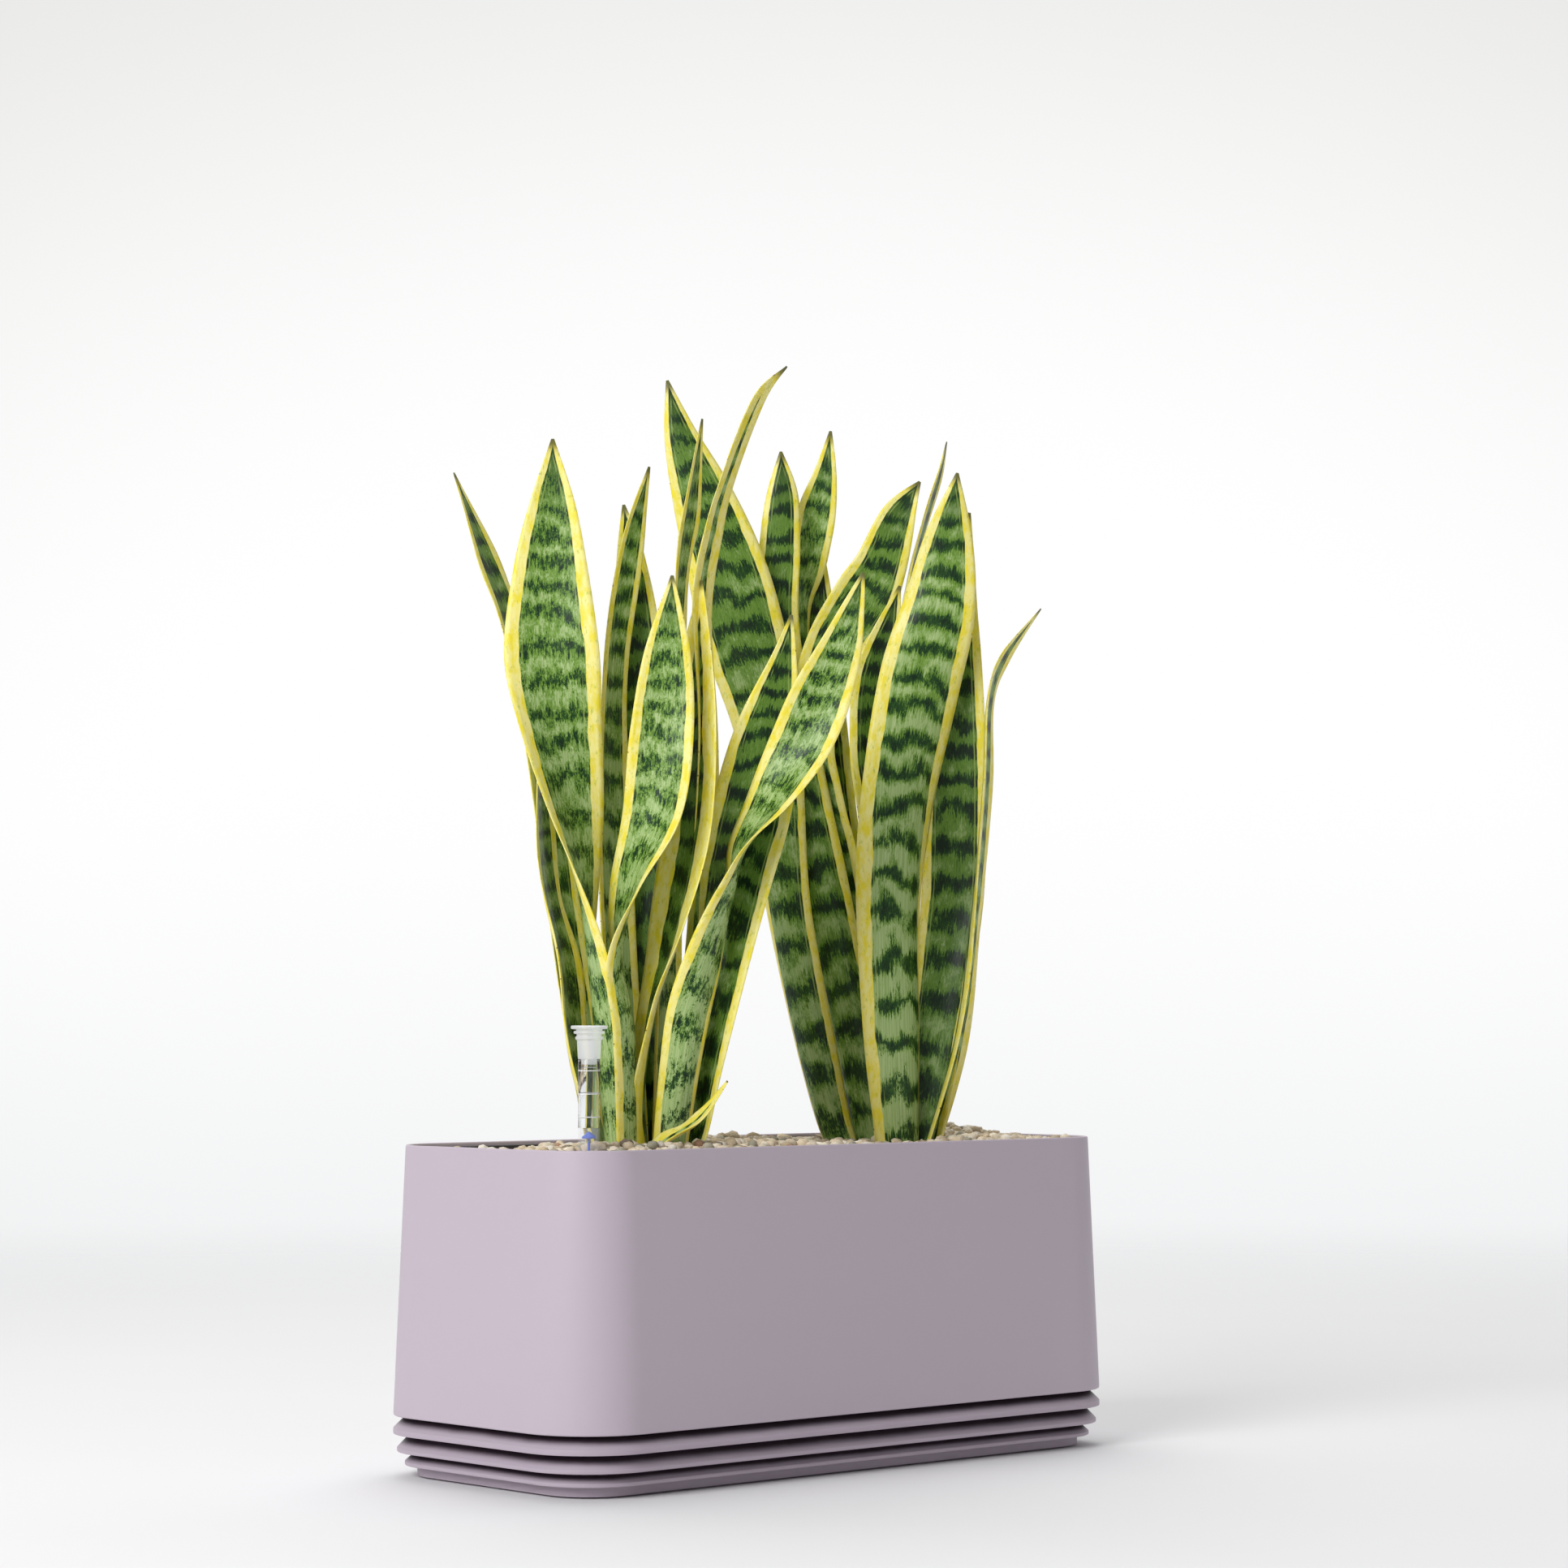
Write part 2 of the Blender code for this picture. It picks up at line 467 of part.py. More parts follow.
def leaf_section(bm, clump, row, part):
    """One ring of eight points across a leaf: an arc with a thickness, in the clump's turned frame."""
    across, away, height, width, turn, lean = row
    right = Vector((math.cos(VIEW_TURN), -math.sin(VIEW_TURN), 0.0))
    back = Vector((math.sin(VIEW_TURN), math.cos(VIEW_TURN), 0.0))
    centre = Vector((*CLUMPS[clump[0]], height)) + right * across + back * away
    angle = math.radians(turn)
    side = right * math.cos(angle) + back * math.sin(angle)
    side = (side - lean * side.dot(lean)).normalized()
    front = side.cross(lean).normalized()
    base = CONVEX_CURL if clump[1] < 0 else BASE_CURL
    curl = math.radians(TIP_CURL + (base - TIP_CURL) * (1.0 - part) ** 1.6) * clump[1]
    thick = LEAF_THICKNESS * (1.0 - 0.7 * part)
    radius = width / curl
    points = []
    for offset, steps in ((thick / 2, (-0.5, -0.17, 0.17, 0.5)), (-thick / 2, (0.5, 0.17, -0.17, -0.5))):
        for step in steps:
            swing = curl * step
            depth = radius * (1.0 - math.cos(swing))
            reach = radius * math.sin(swing)
            edge = 0.35 if abs(step) == 0.5 else 1.0
            points.append(centre + side * reach + front * (depth + offset * edge))
    return [bm.verts.new(point) for point in points]


def leaf_mesh(side, name, rows):
    """A leaf lofted through its rows, capped at both ends."""
    bm = bmesh.new()
    sign = -1.0 if name in CONVEX_LEAVES else 1.0
    right = Vector((math.cos(VIEW_TURN), -math.sin(VIEW_TURN), 0.0))
    back = Vector((math.sin(VIEW_TURN), math.cos(VIEW_TURN), 0.0))
    centres = [right * row[0] + back * row[1] + Vector((0, 0, row[2])) for row in rows]
    rings = []
    for index, row in enumerate(rows):
        ahead = centres[min(index + 1, len(rows) - 1)] - centres[max(index - 1, 0)]
        part = (row[2] - rows[0][2]) / (rows[-1][2] - rows[0][2])
        rings.append(leaf_section(bm, (side, sign), (*row, ahead.normalized()), part))
    for low, high in zip(rings, rings[1:]):
        # Both faces of the leaf are split along the same diagonals, so a twist keeps its thickness.
        for column in range(3):
            for left, right_side in ((column, column + 1), (7 - column, 6 - column)):
                bm.faces.new((low[left], low[right_side], high[right_side]))
                bm.faces.new((low[left], high[right_side], high[left]))
        for first, second in ((7, 0), (3, 4)):
            bm.faces.new((low[first], low[second], high[second]))
            bm.faces.new((low[first], high[second], high[first]))
    bm.faces.new(rings[0])
    bm.faces.new(rings[-1])
    return bm


def make_plant(side, leaves):
    """Root ball and crown with all of the clump's leaves joined on."""
    low, high = ROOT_RADII
    top = MEDIUM_TOP + GAP
    profile = ((0, ROOT_BOTTOM), (low, ROOT_BOTTOM), (high, top), (CROWN_RADIUS, top),
               (CROWN_RADIUS, PEBBLE_TOP), (0, PEBBLE_TOP))
    plant = turned_body(f"{side}_plant", profile, material(f"{side}_plant", (0.16, 0.3, 0.06), 0.4),
                        (*crown_place(side), 0))
    for name, rows in leaves.items():
        leaf = helper(f"join_{side}_{name}", leaf_mesh(side, name, rows))
        combine(plant, leaf, "UNION")
    return plant


def make_gauge():
    """Sleeve in the pot, frosted lower tube, clear window, stepped cap, and the float inside."""
    sleeve = material("sleeve_plastic", (0.07, 0.07, 0.075), 0.5)
    frosted = material("frosted_plastic", (0.85, 0.87, 0.9), 0.35, alpha=0.6)
    clear = material("clear_plastic", (0.9, 0.93, 0.95), 0.08, alpha=0.3)
    blue = material("float_blue", (0.03, 0.13, 0.6), 0.35)
    foam = material("float_foam", (0.8, 0.8, 0.78), 0.7)
    place = (*GAUGE_XY, 0)
    inner, outer = GAUGE_RADIUS + 0.9, SLEEVE_RADIUS
    turned_body("gauge_sleeve", ((inner, POT_FLOOR + GAP), (outer, POT_FLOOR + GAP), (outer, 205),
                                 (inner, 205)), sleeve, place)
    turned_body("gauge_tube", ((3.5, GAUGE_BOTTOM), (GAUGE_RADIUS, GAUGE_BOTTOM), (GAUGE_RADIUS, 205.3),
                               (9.2, 205.3), (9.2, 207.5), (GAUGE_RADIUS, 207.5),
                               (GAUGE_RADIUS, WINDOW_BOTTOM - GAP), (GAUGE_BORE, WINDOW_BOTTOM - GAP),
                               (GAUGE_BORE, GAUGE_BOTTOM + 2), (3.5, GAUGE_BOTTOM + 2)), frosted, place)
    turned_body("gauge_window", ((GAUGE_BORE, WINDOW_BOTTOM), (GAUGE_RADIUS, WINDOW_BOTTOM),
                                 (GAUGE_RADIUS, WINDOW_TOP), (GAUGE_BORE, WINDOW_TOP)), clear, place)
    neck = WINDOW_TOP + GAP
    turned_body("gauge_cap", ((0, neck - 4), (5.0, neck - 4), (5.4, neck - 3), (5.4, neck), (7.1, neck),
                              (7.8, 284.5), (8.9, 285.4), (8.9, 287.0), (8.0, 287.4), (8.0, 288.6),
                              (9.9, 288.9), (9.9, 290.4), (8.2, 290.8), (8.4, 291.5), (11.7, 291.9),
                              (11.7, GAUGE_TOP), (0, GAUGE_TOP)), frosted, place)
    low = GAUGE_BOTTOM + 2 + GAP
    turned_body("float_body", ((0, low), (4.0, low), (4.7, low + 1.5), (4.7, 50), (4.0, 52), (0, 52)),
                foam, place, steps=16)
    turned_body("float_stem", ((0, 52.3), (0.85, 52.3), (0.85, 220.5), (0, 220.5)), blue, place, steps=8)
    turned_body("float_marker", ((0, 220.8), (0.9, 220.8), (1.2, 222.2), (4.6, 222.6), (4.4, 223.8),
                                 (2.2, 225.4), (0.8, 226.6), (0, 226.9)), blue, place, steps=16)


def main():
    clear_scene()
    make_base_frame()
    make_pads()
    make_louvres()
    make_tray()
    make_shell()
    make_pot()
    make_cups_and_wicks()
    make_grid()
    make_fleece()
    make_medium()
    make_pebbles()
    make_plant("left", LEFT_LEAVES)
    make_plant("right", RIGHT_LEAVES)
    make_gauge()


main()
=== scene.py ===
"""Looks of the self-watering planter: moulded shell and louvres, pebbles, gauge and snake plants."""
import math
import random

import bmesh
import bpy
from mathutils import Matrix, Vector, noise


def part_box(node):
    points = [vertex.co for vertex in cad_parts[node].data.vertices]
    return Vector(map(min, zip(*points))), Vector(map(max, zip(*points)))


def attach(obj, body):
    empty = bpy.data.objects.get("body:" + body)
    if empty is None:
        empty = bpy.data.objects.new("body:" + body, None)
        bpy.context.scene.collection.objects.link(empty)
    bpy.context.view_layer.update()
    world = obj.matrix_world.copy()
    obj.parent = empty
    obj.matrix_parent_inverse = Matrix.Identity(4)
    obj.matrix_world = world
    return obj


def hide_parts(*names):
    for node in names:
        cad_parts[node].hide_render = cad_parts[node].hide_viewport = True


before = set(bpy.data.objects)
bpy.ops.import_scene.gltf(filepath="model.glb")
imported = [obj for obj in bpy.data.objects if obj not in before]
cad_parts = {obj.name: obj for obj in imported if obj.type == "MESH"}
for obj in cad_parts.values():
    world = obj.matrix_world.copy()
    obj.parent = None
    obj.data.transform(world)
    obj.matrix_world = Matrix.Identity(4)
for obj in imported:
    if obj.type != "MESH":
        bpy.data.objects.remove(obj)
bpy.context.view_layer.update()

MM = 0.001

# Sizes shared with the frame, read from its pieces.
SHELL_HIGH = Vector(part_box("outer_shell")[1])
HALF_X = SHELL_HIGH.x
HALF_Y = SHELL_HIGH.y
CORNER = 51 * MM
FOOT_INSET = HALF_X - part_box("base_frame")[1][0]
GAUGE_LOW, GAUGE_HIGH = (Vector(corner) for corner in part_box("gauge_tube"))
GAUGE_X = (GAUGE_LOW.x + GAUGE_HIGH.x) / 2
GAUGE_Y = (GAUGE_LOW.y + GAUGE_HIGH.y) / 2
TUBE_RADIUS = 6.9 * MM
TUBE_HOLE = TUBE_RADIUS + 1.7 * MM

# Heights of the pot floor's two faces and of the gauge's lines, and half a line's width, in millimetres.
POT_UNDER = 58.0
POT_FLOOR = 60.4
MARK_HEIGHTS = (236.2, 250.7, 265.4)
MARK_HALF = 0.25

# Spacer posts between the upper louvre and the shell.
POST_INSET = 10.5 * MM
POST_PITCH = 55 * MM
POST_HEIGHT = 38.6 * MM
POST_SIZE = (8 * MM, 3.6 * MM, 2.2 * MM)
POST_BEVEL = 0.4 * MM

CORNER_SEGMENTS = 14
TURN_STEPS = 48
SMOOTH_ANGLE = math.radians(35)

# Camera: a long lens a little above the rim, facing the near corner.
CAMERA_PLACE = (-1.70964, -1.88568, 0.29171)
CAMERA_HEADING = math.radians(42.59)
CAMERA_RISE = math.radians(3.78)
CAMERA_ROLL = math.radians(-0.05)
CAMERA_LENS = 85.13
BACKDROP_AWAY = 4.0
BACKDROP_MIDDLE = (2.75, 2.93, 0.55)

# Plants.  A clump's frame is turned against the long side: "across" runs to the right of
# somebody who faces the near corner, "away" runs from them, and height is from the floor.
VIEW_TURN = math.radians(42.4)
ACROSS = Vector((math.cos(VIEW_TURN), -math.sin(VIEW_TURN), 0.0))
AWAY = Vector((math.sin(VIEW_TURN), math.cos(VIEW_TURN), 0.0))
UP = Vector((0.0, 0.0, 1.0))
CLUMPS = {"left": Vector((-0.116, 0.0, 0.0)), "right": Vector((0.108, 0.0, 0.0))}
BASE_CURL = 105.0
TIP_CURL = 28.0
LEAF_COLUMNS = 16
LEAF_ROWS = 72
LEAF_THICKNESS = 2.6 * MM

# Each leaf: (across, away, height, width, turn in degrees), lengths in millimetres.
LEAVES = {
    "left": {
        "far_left": ((-20, 25, 205, 26, 30), (-42, 25, 330, 34, 45), (-61, 22, 470, 34, 55),
                     (-82, 20, 563, 28, 58), (-99, 20, 611, 24, 58), (-120, 20, 667, 2, 58)),
        "tall_front": ((-9, -18, 205, 34, 130), (-18, -26, 294, 42, 122), (-24, -29, 334, 44, 105),
                       (-30, -30, 380, 48, 80), (-39, -28, 438, 54, 48), (-47, -24, 490, 60, 25),
                       (-51, -20, 543, 64, 0), (-52, -18, 597, 50, 0), (-51, -18, 640, 31, 0),
                       (-51, -18, 684, 2, 0)),
        "left_edge": ((-18, 0, 205, 26, 60), (-36, 0, 270, 32, 65), (-43, 0, 332, 34, 68),
                      (-54, 0, 382, 32, 70), (-59, 0, 436, 28, 72), (-60, 0, 500, 2, 70)),
        "back_slim": ((0, 22, 205, 26, 20), (-10, 25, 330, 34, 45), (-14, 22, 450, 32, 50),
                      (-11, 20, 540, 24, 48), (0, 20, 618, 20, 40), (12, 20, 671, 2, 40)),
        "back_dark": ((8, 30, 205, 30, 0), (6, 42, 400, 38, 0), (4, 42, 540, 34, 0),
                      (-1, 40, 610, 20, 0), (-6, 40, 648, 2, 0)),
        "middle_front": ((4, -22, 205, 30, -110), (2, -34, 290, 36, -108), (-5, -34, 338, 40, -92),
                         (3, -32, 386, 44, -60), (18, -30, 434, 46, -25), (23, -30, 488, 43, -8),
                         (26, -30, 540, 31, 0), (29, -30, 591, 2, 0)),
        "wide_margin": ((12, -10, 205, 30, -95), (9, -15, 250, 36, -88), (16, -15, 305, 38, -72),
                        (29, -15, 355, 42, -55), (41, -12, 425, 44, -40), (44, -10, 500, 40, -35),
                        (48, -10, 590, 2, -35)),
        "tall_hook": ((30, 0, 205, 26, 30), (44, 0, 350, 30, 50), (50, -5, 480, 26, 58),
                      (47, -5, 572, 24, 58), (55, -5, 625, 20, 56), (65, -5, 660, 17, 54),
                      (86, -5, 713, 12, 50), (105, -5, 735, 2, 50)),
        "back_needle": ((20, 12, 205, 24, 40), (25, 12, 400, 28, 60), (30, 10, 540, 20, 62),
                        (34, 10, 600, 18, 58), (40, 10, 640, 19, 56), (48, 10, 702, 2, 50)),
        "right_twist": ((28, -22, 205, 26, -165), (36, -25, 267, 31, -160), (43, -25, 305, 35, -150),
                        (55, -24, 341, 38, -128), (68, -22, 381, 42, -100), (76, -20, 411, 44, -75),
                        (93, -16, 439, 44, -45), (113, -12, 477, 44, -15), (127, -9, 511, 41, 0),
                        (140, -7, 543, 30, 0), (149, -5, 572, 16, 0), (156, -5, 596, 2, 0)),
        "right_dark": ((34, 2, 205, 28, -25), (42, 1, 225, 34, -25), (48, 0, 270, 40, -22),
                       (59, 0, 327, 44, -16), (71, 0, 392, 52, -8), (82, 0, 441, 54, 0),
                       (92, 0, 490, 44, 5), (103, 0, 540, 17, 8), (108, 0, 568, 2, 0)),
        "low_curl": ((10, -24, 207, 16, -70), (26, -38, 219, 17, -66), (47, -48, 233, 14, -60),
                     (66, -50, 258, 2, -50)),
    },
    "right": {
        "long_left": ((-22, 5, 205, 28, -25), (-30, 5, 225, 32, -25), (-41, 5, 270, 36, -25),
                      (-52, 5, 322, 38, -25), (-62, 4, 384, 38, -20), (-68, 2, 450, 42, -10),
                      (-74, 0, 510, 52, 0),
                      (-91, 0, 573, 61, 0), (-104, 0, 622, 57, 0), (-120, 0, 670, 44, 0),
                      (-135, 0, 712, 25, 0), (-145, 0, 753, 2, 0)),
        "left_inner": ((-1, 8, 205, 36, -20), (-15, 8, 291, 45, -20), (-26, 8, 342, 42, -18),
                       (-38, 10, 400, 42, -12), (-52, 16, 470, 40, -6), (-67, 20, 572, 34, 0),
                       (-65, 20, 634, 30, 0), (-63, 20, 674, 23, 0), (-64, 20, 705, 2, 0)),
        "back_twist": ((2, 30, 205, 26, 0), (-15, 40, 350, 32, 30), (-36, 42, 470, 34, 50),
                       (-48, 42, 541, 34, 65), (-51, 40, 596, 30, 60), (-44, 40, 632, 28, 20),
                       (-38, 40, 664, 28, 0), (-32, 40, 692, 17, 0), (-28, 40, 723, 2, 0)),
        "back_shadow": ((14, 34, 205, 24, 0), (-20, 52, 400, 34, 0), (-34, 54, 520, 34, 0),
                        (-38, 54, 590, 27, 0), (-35, 52, 645, 2, 0)),
        "right_lean": ((10, 18, 205, 28, 0), (-8, 26, 300, 32, 0), (-24, 29, 400, 36, 0),
                       (-36, 28, 450, 36, 0), (-44, 25, 500, 38, 0), (-27, 17, 559, 44, 0),
                       (-6, 10, 595, 47, 0), (7, 8, 621, 38, 0), (20, 5, 657, 25, 0), (35, 5, 681, 2, 0)),
        "big_front": ((23, -22, 205, 42, 32), (20, -30, 289, 58, 36), (18, -30, 380, 64, 38),
                      (22, -30, 455, 64, 32), (34, -30, 533, 61, 12), (47, -30, 587, 52, 0),
                      (54, -30, 637, 34, 0), (60, -30, 682, 2, 0)),
        "right_dark": ((32, -4, 205, 34, 0), (41, -4, 270, 40, 0), (49, -3, 326, 44, 0),
                       (57, 0, 388, 46, 0), (59, 0, 465, 46, 0), (60, 0, 540, 38, 0),
                       (62, 0, 590, 27, 0), (65, 0, 625, 17, 0), (70, 0, 658, 2, 0)),
        "far_right": ((38, -8, 206, 20, 60), (59, -15, 283, 26, 72), (71, -18, 370, 26, 75),
                      (79, -20, 460, 24, 75), (82, -20, 520, 22, 72), (93, -20, 553, 18, 65),
                      (119, -20, 587, 2, 60)),
        "back_edge": ((22, 22, 205, 24, 60), (21, 24, 400, 28, 70), (22, 22, 560, 26, 76),
                      (28, 20, 612, 22, 76), (39, 20, 655, 18, 76), (50, 20, 691, 12, 72),
                      (55, 20, 712, 2, 70)),
        "middle_dark": ((14, -6, 205, 28, 0), (10, -9, 340, 36, 0), (8, -9, 435, 36, 0),
                        (2, -9, 487, 36, 0), (5, -9, 545, 32, 0), (20, -6, 605, 2, 0)),
    },
}
# Leaves that turn their outer, rounded side to the corner are curled further round.
CONVEX_LEAVES = ("big_front", "long_left", "left_inner")
CONVEX_CURL = 140.0

# How far a leaf's bands break up into flecks: 0 is clear bands, 1 is all flecks.
FLECKED = {"tall_front": 0.75, "middle_front": 0.95, "right_twist": 0.9, "left_edge": 0.5, "back_slim": 0.3,
           "wide_margin": 0.4, "long_left": 0.35, "back_twist": 0.5, "back_needle": 0.5, "tall_hook": 0.5}
# How much a leaf is darkened by painted shade, most for leaves behind others or inside the clump, and how
# wide its yellow margins are.
PAINTED_LEAF_SHADE = {"back_dark": 0.8, "back_shadow": 1.0, "middle_dark": 1.0, "right_dark": 0.6, "left_inner": 0.5,
        "long_left": 0.4, "right_lean": 0.3, "far_right": 0.3, "far_left": 0.3, "back_edge": 0.4,
        "tall_front": 0.1, "big_front": 0.05, "wide_margin": 0.7, "left_edge": 0.2}
MARGINS = {"tall_front": 1.15, "tall_hook": 1.9, "wide_margin": 2.1, "low_curl": 1.7, "far_right": 1.3,
           "big_front": 1.15}


class Value:
    """A shader socket that can be used in arithmetic."""

    def __init__(self, finish, socket):
        self.finish = finish
        self.socket = socket

    def _math(self, operation, *values):
        return self.finish.node("ShaderNodeMath", {"operation": operation}, dict(enumerate(values)))

    def __add__(self, other):
        return self._math("ADD", self, other)

    def __radd__(self, other):
        return self._math("ADD", other, self)

    def __sub__(self, other):
        return self._math("SUBTRACT", self, other)

    def __rsub__(self, other):
        return self._math("SUBTRACT", other, self)

    def __mul__(self, other):
        return self._math("MULTIPLY", self, other)

    def __rmul__(self, other):
        return self._math("MULTIPLY", other, self)

    def sine(self):
        return self._math("SINE", self)

    def step(self, low, high):
        """0 below `low`, 1 above `high`, smooth between."""
        return self.finish.node("ShaderNodeMapRange", {"interpolation_type": "SMOOTHSTEP"},
                                {0: self, 1: low, 2: high, 3: 0.0, 4: 1.0})


class Finish:
    """A node material, built from one Principled shader."""

    def __init__(self, name, **constants):
        self.material = bpy.data.materials.new(name)
        self.material.use_nodes = True
        self.tree = self.material.node_tree
        self.shader = self.tree.nodes["Principled BSDF"]
        for socket, value in constants.items():
            self.shader.inputs[socket.replace("_", " ")].default_value = value

    def node(self, kind, settings, inputs, output=0):
        """Add a node: its settings first, then the values or links of its sockets."""
        made = self.tree.nodes.new(kind)
        for key, value in settings.items():
            setattr(made, key, value)
        for key, value in inputs.items():
            if isinstance(value, Value):
                self.tree.links.new(value.socket, made.inputs[key])
            else:
                made.inputs[key].default_value = value
        return Value(self, made.outputs[output])

    def place(self):
        return self.node("ShaderNodeTexCoord", {}, {}, "Object")

    def attribute(self, name, output="Fac"):
        return self.node("ShaderNodeAttribute", {"attribute_name": name}, {}, output)

    def vector(self, x, y, z):
        return self.node("ShaderNodeCombineXYZ", {}, {0: x, 1: y, 2: z})

    def stretch(self, vector, scale):
        return self.node("ShaderNodeVectorMath", {"operation": "MULTIPLY"}, {0: vector, 1: scale})

    def noise(self, vector, scale, detail=3.0, roughness=0.55, distortion=0.0):
        return self.node("ShaderNodeTexNoise", {},
                         {"Vector": vector, "Scale": scale, "Detail": detail, "Roughness": roughness,
                          "Distortion": distortion})

    def cells(self, vector, scale, output="Distance"):
        return self.node("ShaderNodeTexVoronoi", {}, {"Vector": vector, "Scale": scale}, output)

    def mix(self, factor, first, second, blend="MIX"):
        """Colours through a Mix node; `first` and `second` are colours or links."""
        pair = [value if isinstance(value, Value) else (*value, 1.0) for value in (first, second)]
        return self.node("ShaderNodeMix", {"data_type": "RGBA", "blend_type": blend},
                         {0: factor, 6: pair[0], 7: pair[1]}, 2)

    def bump(self, height, distance, strength=1.0):
        return self.node("ShaderNodeBump", {}, {"Height": height, "Distance": distance, "Strength": strength})

    def feed(self, **links):
        """Link values to the shader's sockets."""
        for socket, value in links.items():
            self.tree.links.new(value.socket, self.shader.inputs[socket.replace("_", " ")])
        return self.material


def moulded_plastic(name, colour, roughness, grain=0.00002, mottle=0.05, painted_shade=None):
    """Satin moulded plastic: fine spark-eroded grain, faint flow marks and uneven sheen; given a colour for
    painted shade, it darkens towards it where the `depth` attribute is high.
    """
    finish = Finish(name, Specular_IOR_Level=0.42)
    place = finish.place()
    flow = finish.noise(finish.stretch(place, (1.0, 1.0, 2.6)), 9.0, 4.0, 0.6)
    cloud = finish.noise(place, 34.0, 3.0)
    fine = finish.noise(place, 1600.0, 2.0, 0.7)
    pits = finish.noise(place, 420.0, 3.0, 0.6)
    shade = (flow - 0.5) * mottle + (cloud - 0.5) * mottle * 0.5 + (fine - 0.5) * 0.03 + 0.5
    dark = tuple(c * 0.86 for c in colour)
    light = tuple(min(c * 1.14, 1.0) for c in colour)
    tint = finish.mix(shade, dark, light)
    # Painted shade: the tint is multiplied darker where the `depth` attribute is high, standing for shade
    # between parts.
    if painted_shade:
        depth = finish.attribute("depth") + (cloud - 0.5) * 0.2
        tint = finish.mix(depth.step(0.2, 0.8), tint, finish.mix(1.0, tint, painted_shade, "MULTIPLY"))
    grey = roughness + (cloud - 0.5) * 0.08 + (pits - 0.5) * 0.06
    skin = finish.bump(fine * 0.5 + pits * 0.5, grain, 0.6)
    return finish.feed(Base_Color=tint, Roughness=grey, Normal=skin)


def shell_finish():
    return moulded_plastic("shell_mauve", (0.515, 0.445, 0.515), 0.5)


def louvre_finish():
    """The shell's plastic again, dulled and in a darker tint as painted shade under the shell, with more
    painted shade where it runs far in between the rings.
    """
    return moulded_plastic("louvre_mauve", (0.455, 0.385, 0.455), 0.5, painted_shade=(0.09, 0.065, 0.08))


def dark_finish():
    return moulded_plastic("dark_plastic", (0.035, 0.033, 0.036), 0.5, mottle=0.12)


def rubber_finish():
    return moulded_plastic("pad_rubber", (0.02, 0.02, 0.02), 0.8, 0.00006, 0.2)


def felt_finish():
    """Needled felt: matted fibres in two directions."""
    finish = Finish("needled_felt", Sheen_Weight=0.3)
    place = finish.place()
    fibres = finish.noise(finish.stretch(place, (1.0, 0.2, 1.0)), 900.0, 3.0, 0.7)
    matted = finish.noise(finish.stretch(place, (0.25, 1.0, 1.0)), 700.0, 3.0, 0.7)
    stain = finish.noise(place, 30.0, 3.0)
    tint = finish.mix((fibres + matted) * 0.5, (0.42, 0.39, 0.34), (0.78, 0.76, 0.70))
    tint = finish.mix(stain.step(0.55, 0.8), tint, (0.35, 0.29, 0.22))
    return finish.feed(Base_Color=tint, Roughness=0.85 + (fibres - 0.5) * 0.1,
                       Normal=finish.bump(fibres + matted, 0.0004, 0.8))


def medium_finish():
    """Crumbly growing medium: dark crumbs with paler fibres."""
    finish = Finish("growing_medium")
    place = finish.place()
    crumbs = finish.cells(place, 260.0)
    coarse = finish.noise(place, 90.0, 5.0, 0.65)
    fibres = finish.noise(finish.stretch(place, (1.0, 0.12, 0.6)), 520.0, 2.0)
    tint = finish.mix(coarse, (0.012, 0.007, 0.004), (0.10, 0.055, 0.03))
    tint = finish.mix(fibres.step(0.66, 0.74), tint, (0.24, 0.16, 0.09))
    return finish.feed(Base_Color=tint, Roughness=0.9 + (coarse - 0.5) * 0.1,
                       Normal=finish.bump(coarse * 0.6 + crumbs * 0.8, 0.003, 1.0))


def pebble_finish():
    """Washed pebbles: each keeps its own tint, with specks, veins and a chalky skin."""
    finish = Finish("washed_pebbles", Specular_IOR_Level=0.35)
    place = finish.place()
    own = finish.attribute("tint", "Color")
    specks = finish.noise(place, 1500.0, 3.0, 0.7)
    cloud = finish.noise(place, 260.0, 4.0, 0.6)
    veins = finish.noise(finish.stretch(place, (1.0, 0.3, 1.6)), 420.0, 2.0)
    tint = finish.mix(cloud.step(0.35, 0.75) * 0.5, own, finish.mix(1.0, own, (0.62, 0.58, 0.52), "MULTIPLY"))
    tint = finish.mix(specks.step(0.60, 0.72) * 0.55, tint, (0.12, 0.09, 0.065))
    tint = finish.mix(veins.step(0.62, 0.7) * 0.35, tint, (0.78, 0.74, 0.66))
    return finish.feed(Base_Color=tint, Roughness=0.78 + (cloud - 0.5) * 0.2,
                       Normal=finish.bump(specks * 0.4 + cloud, 0.0005, 0.7))


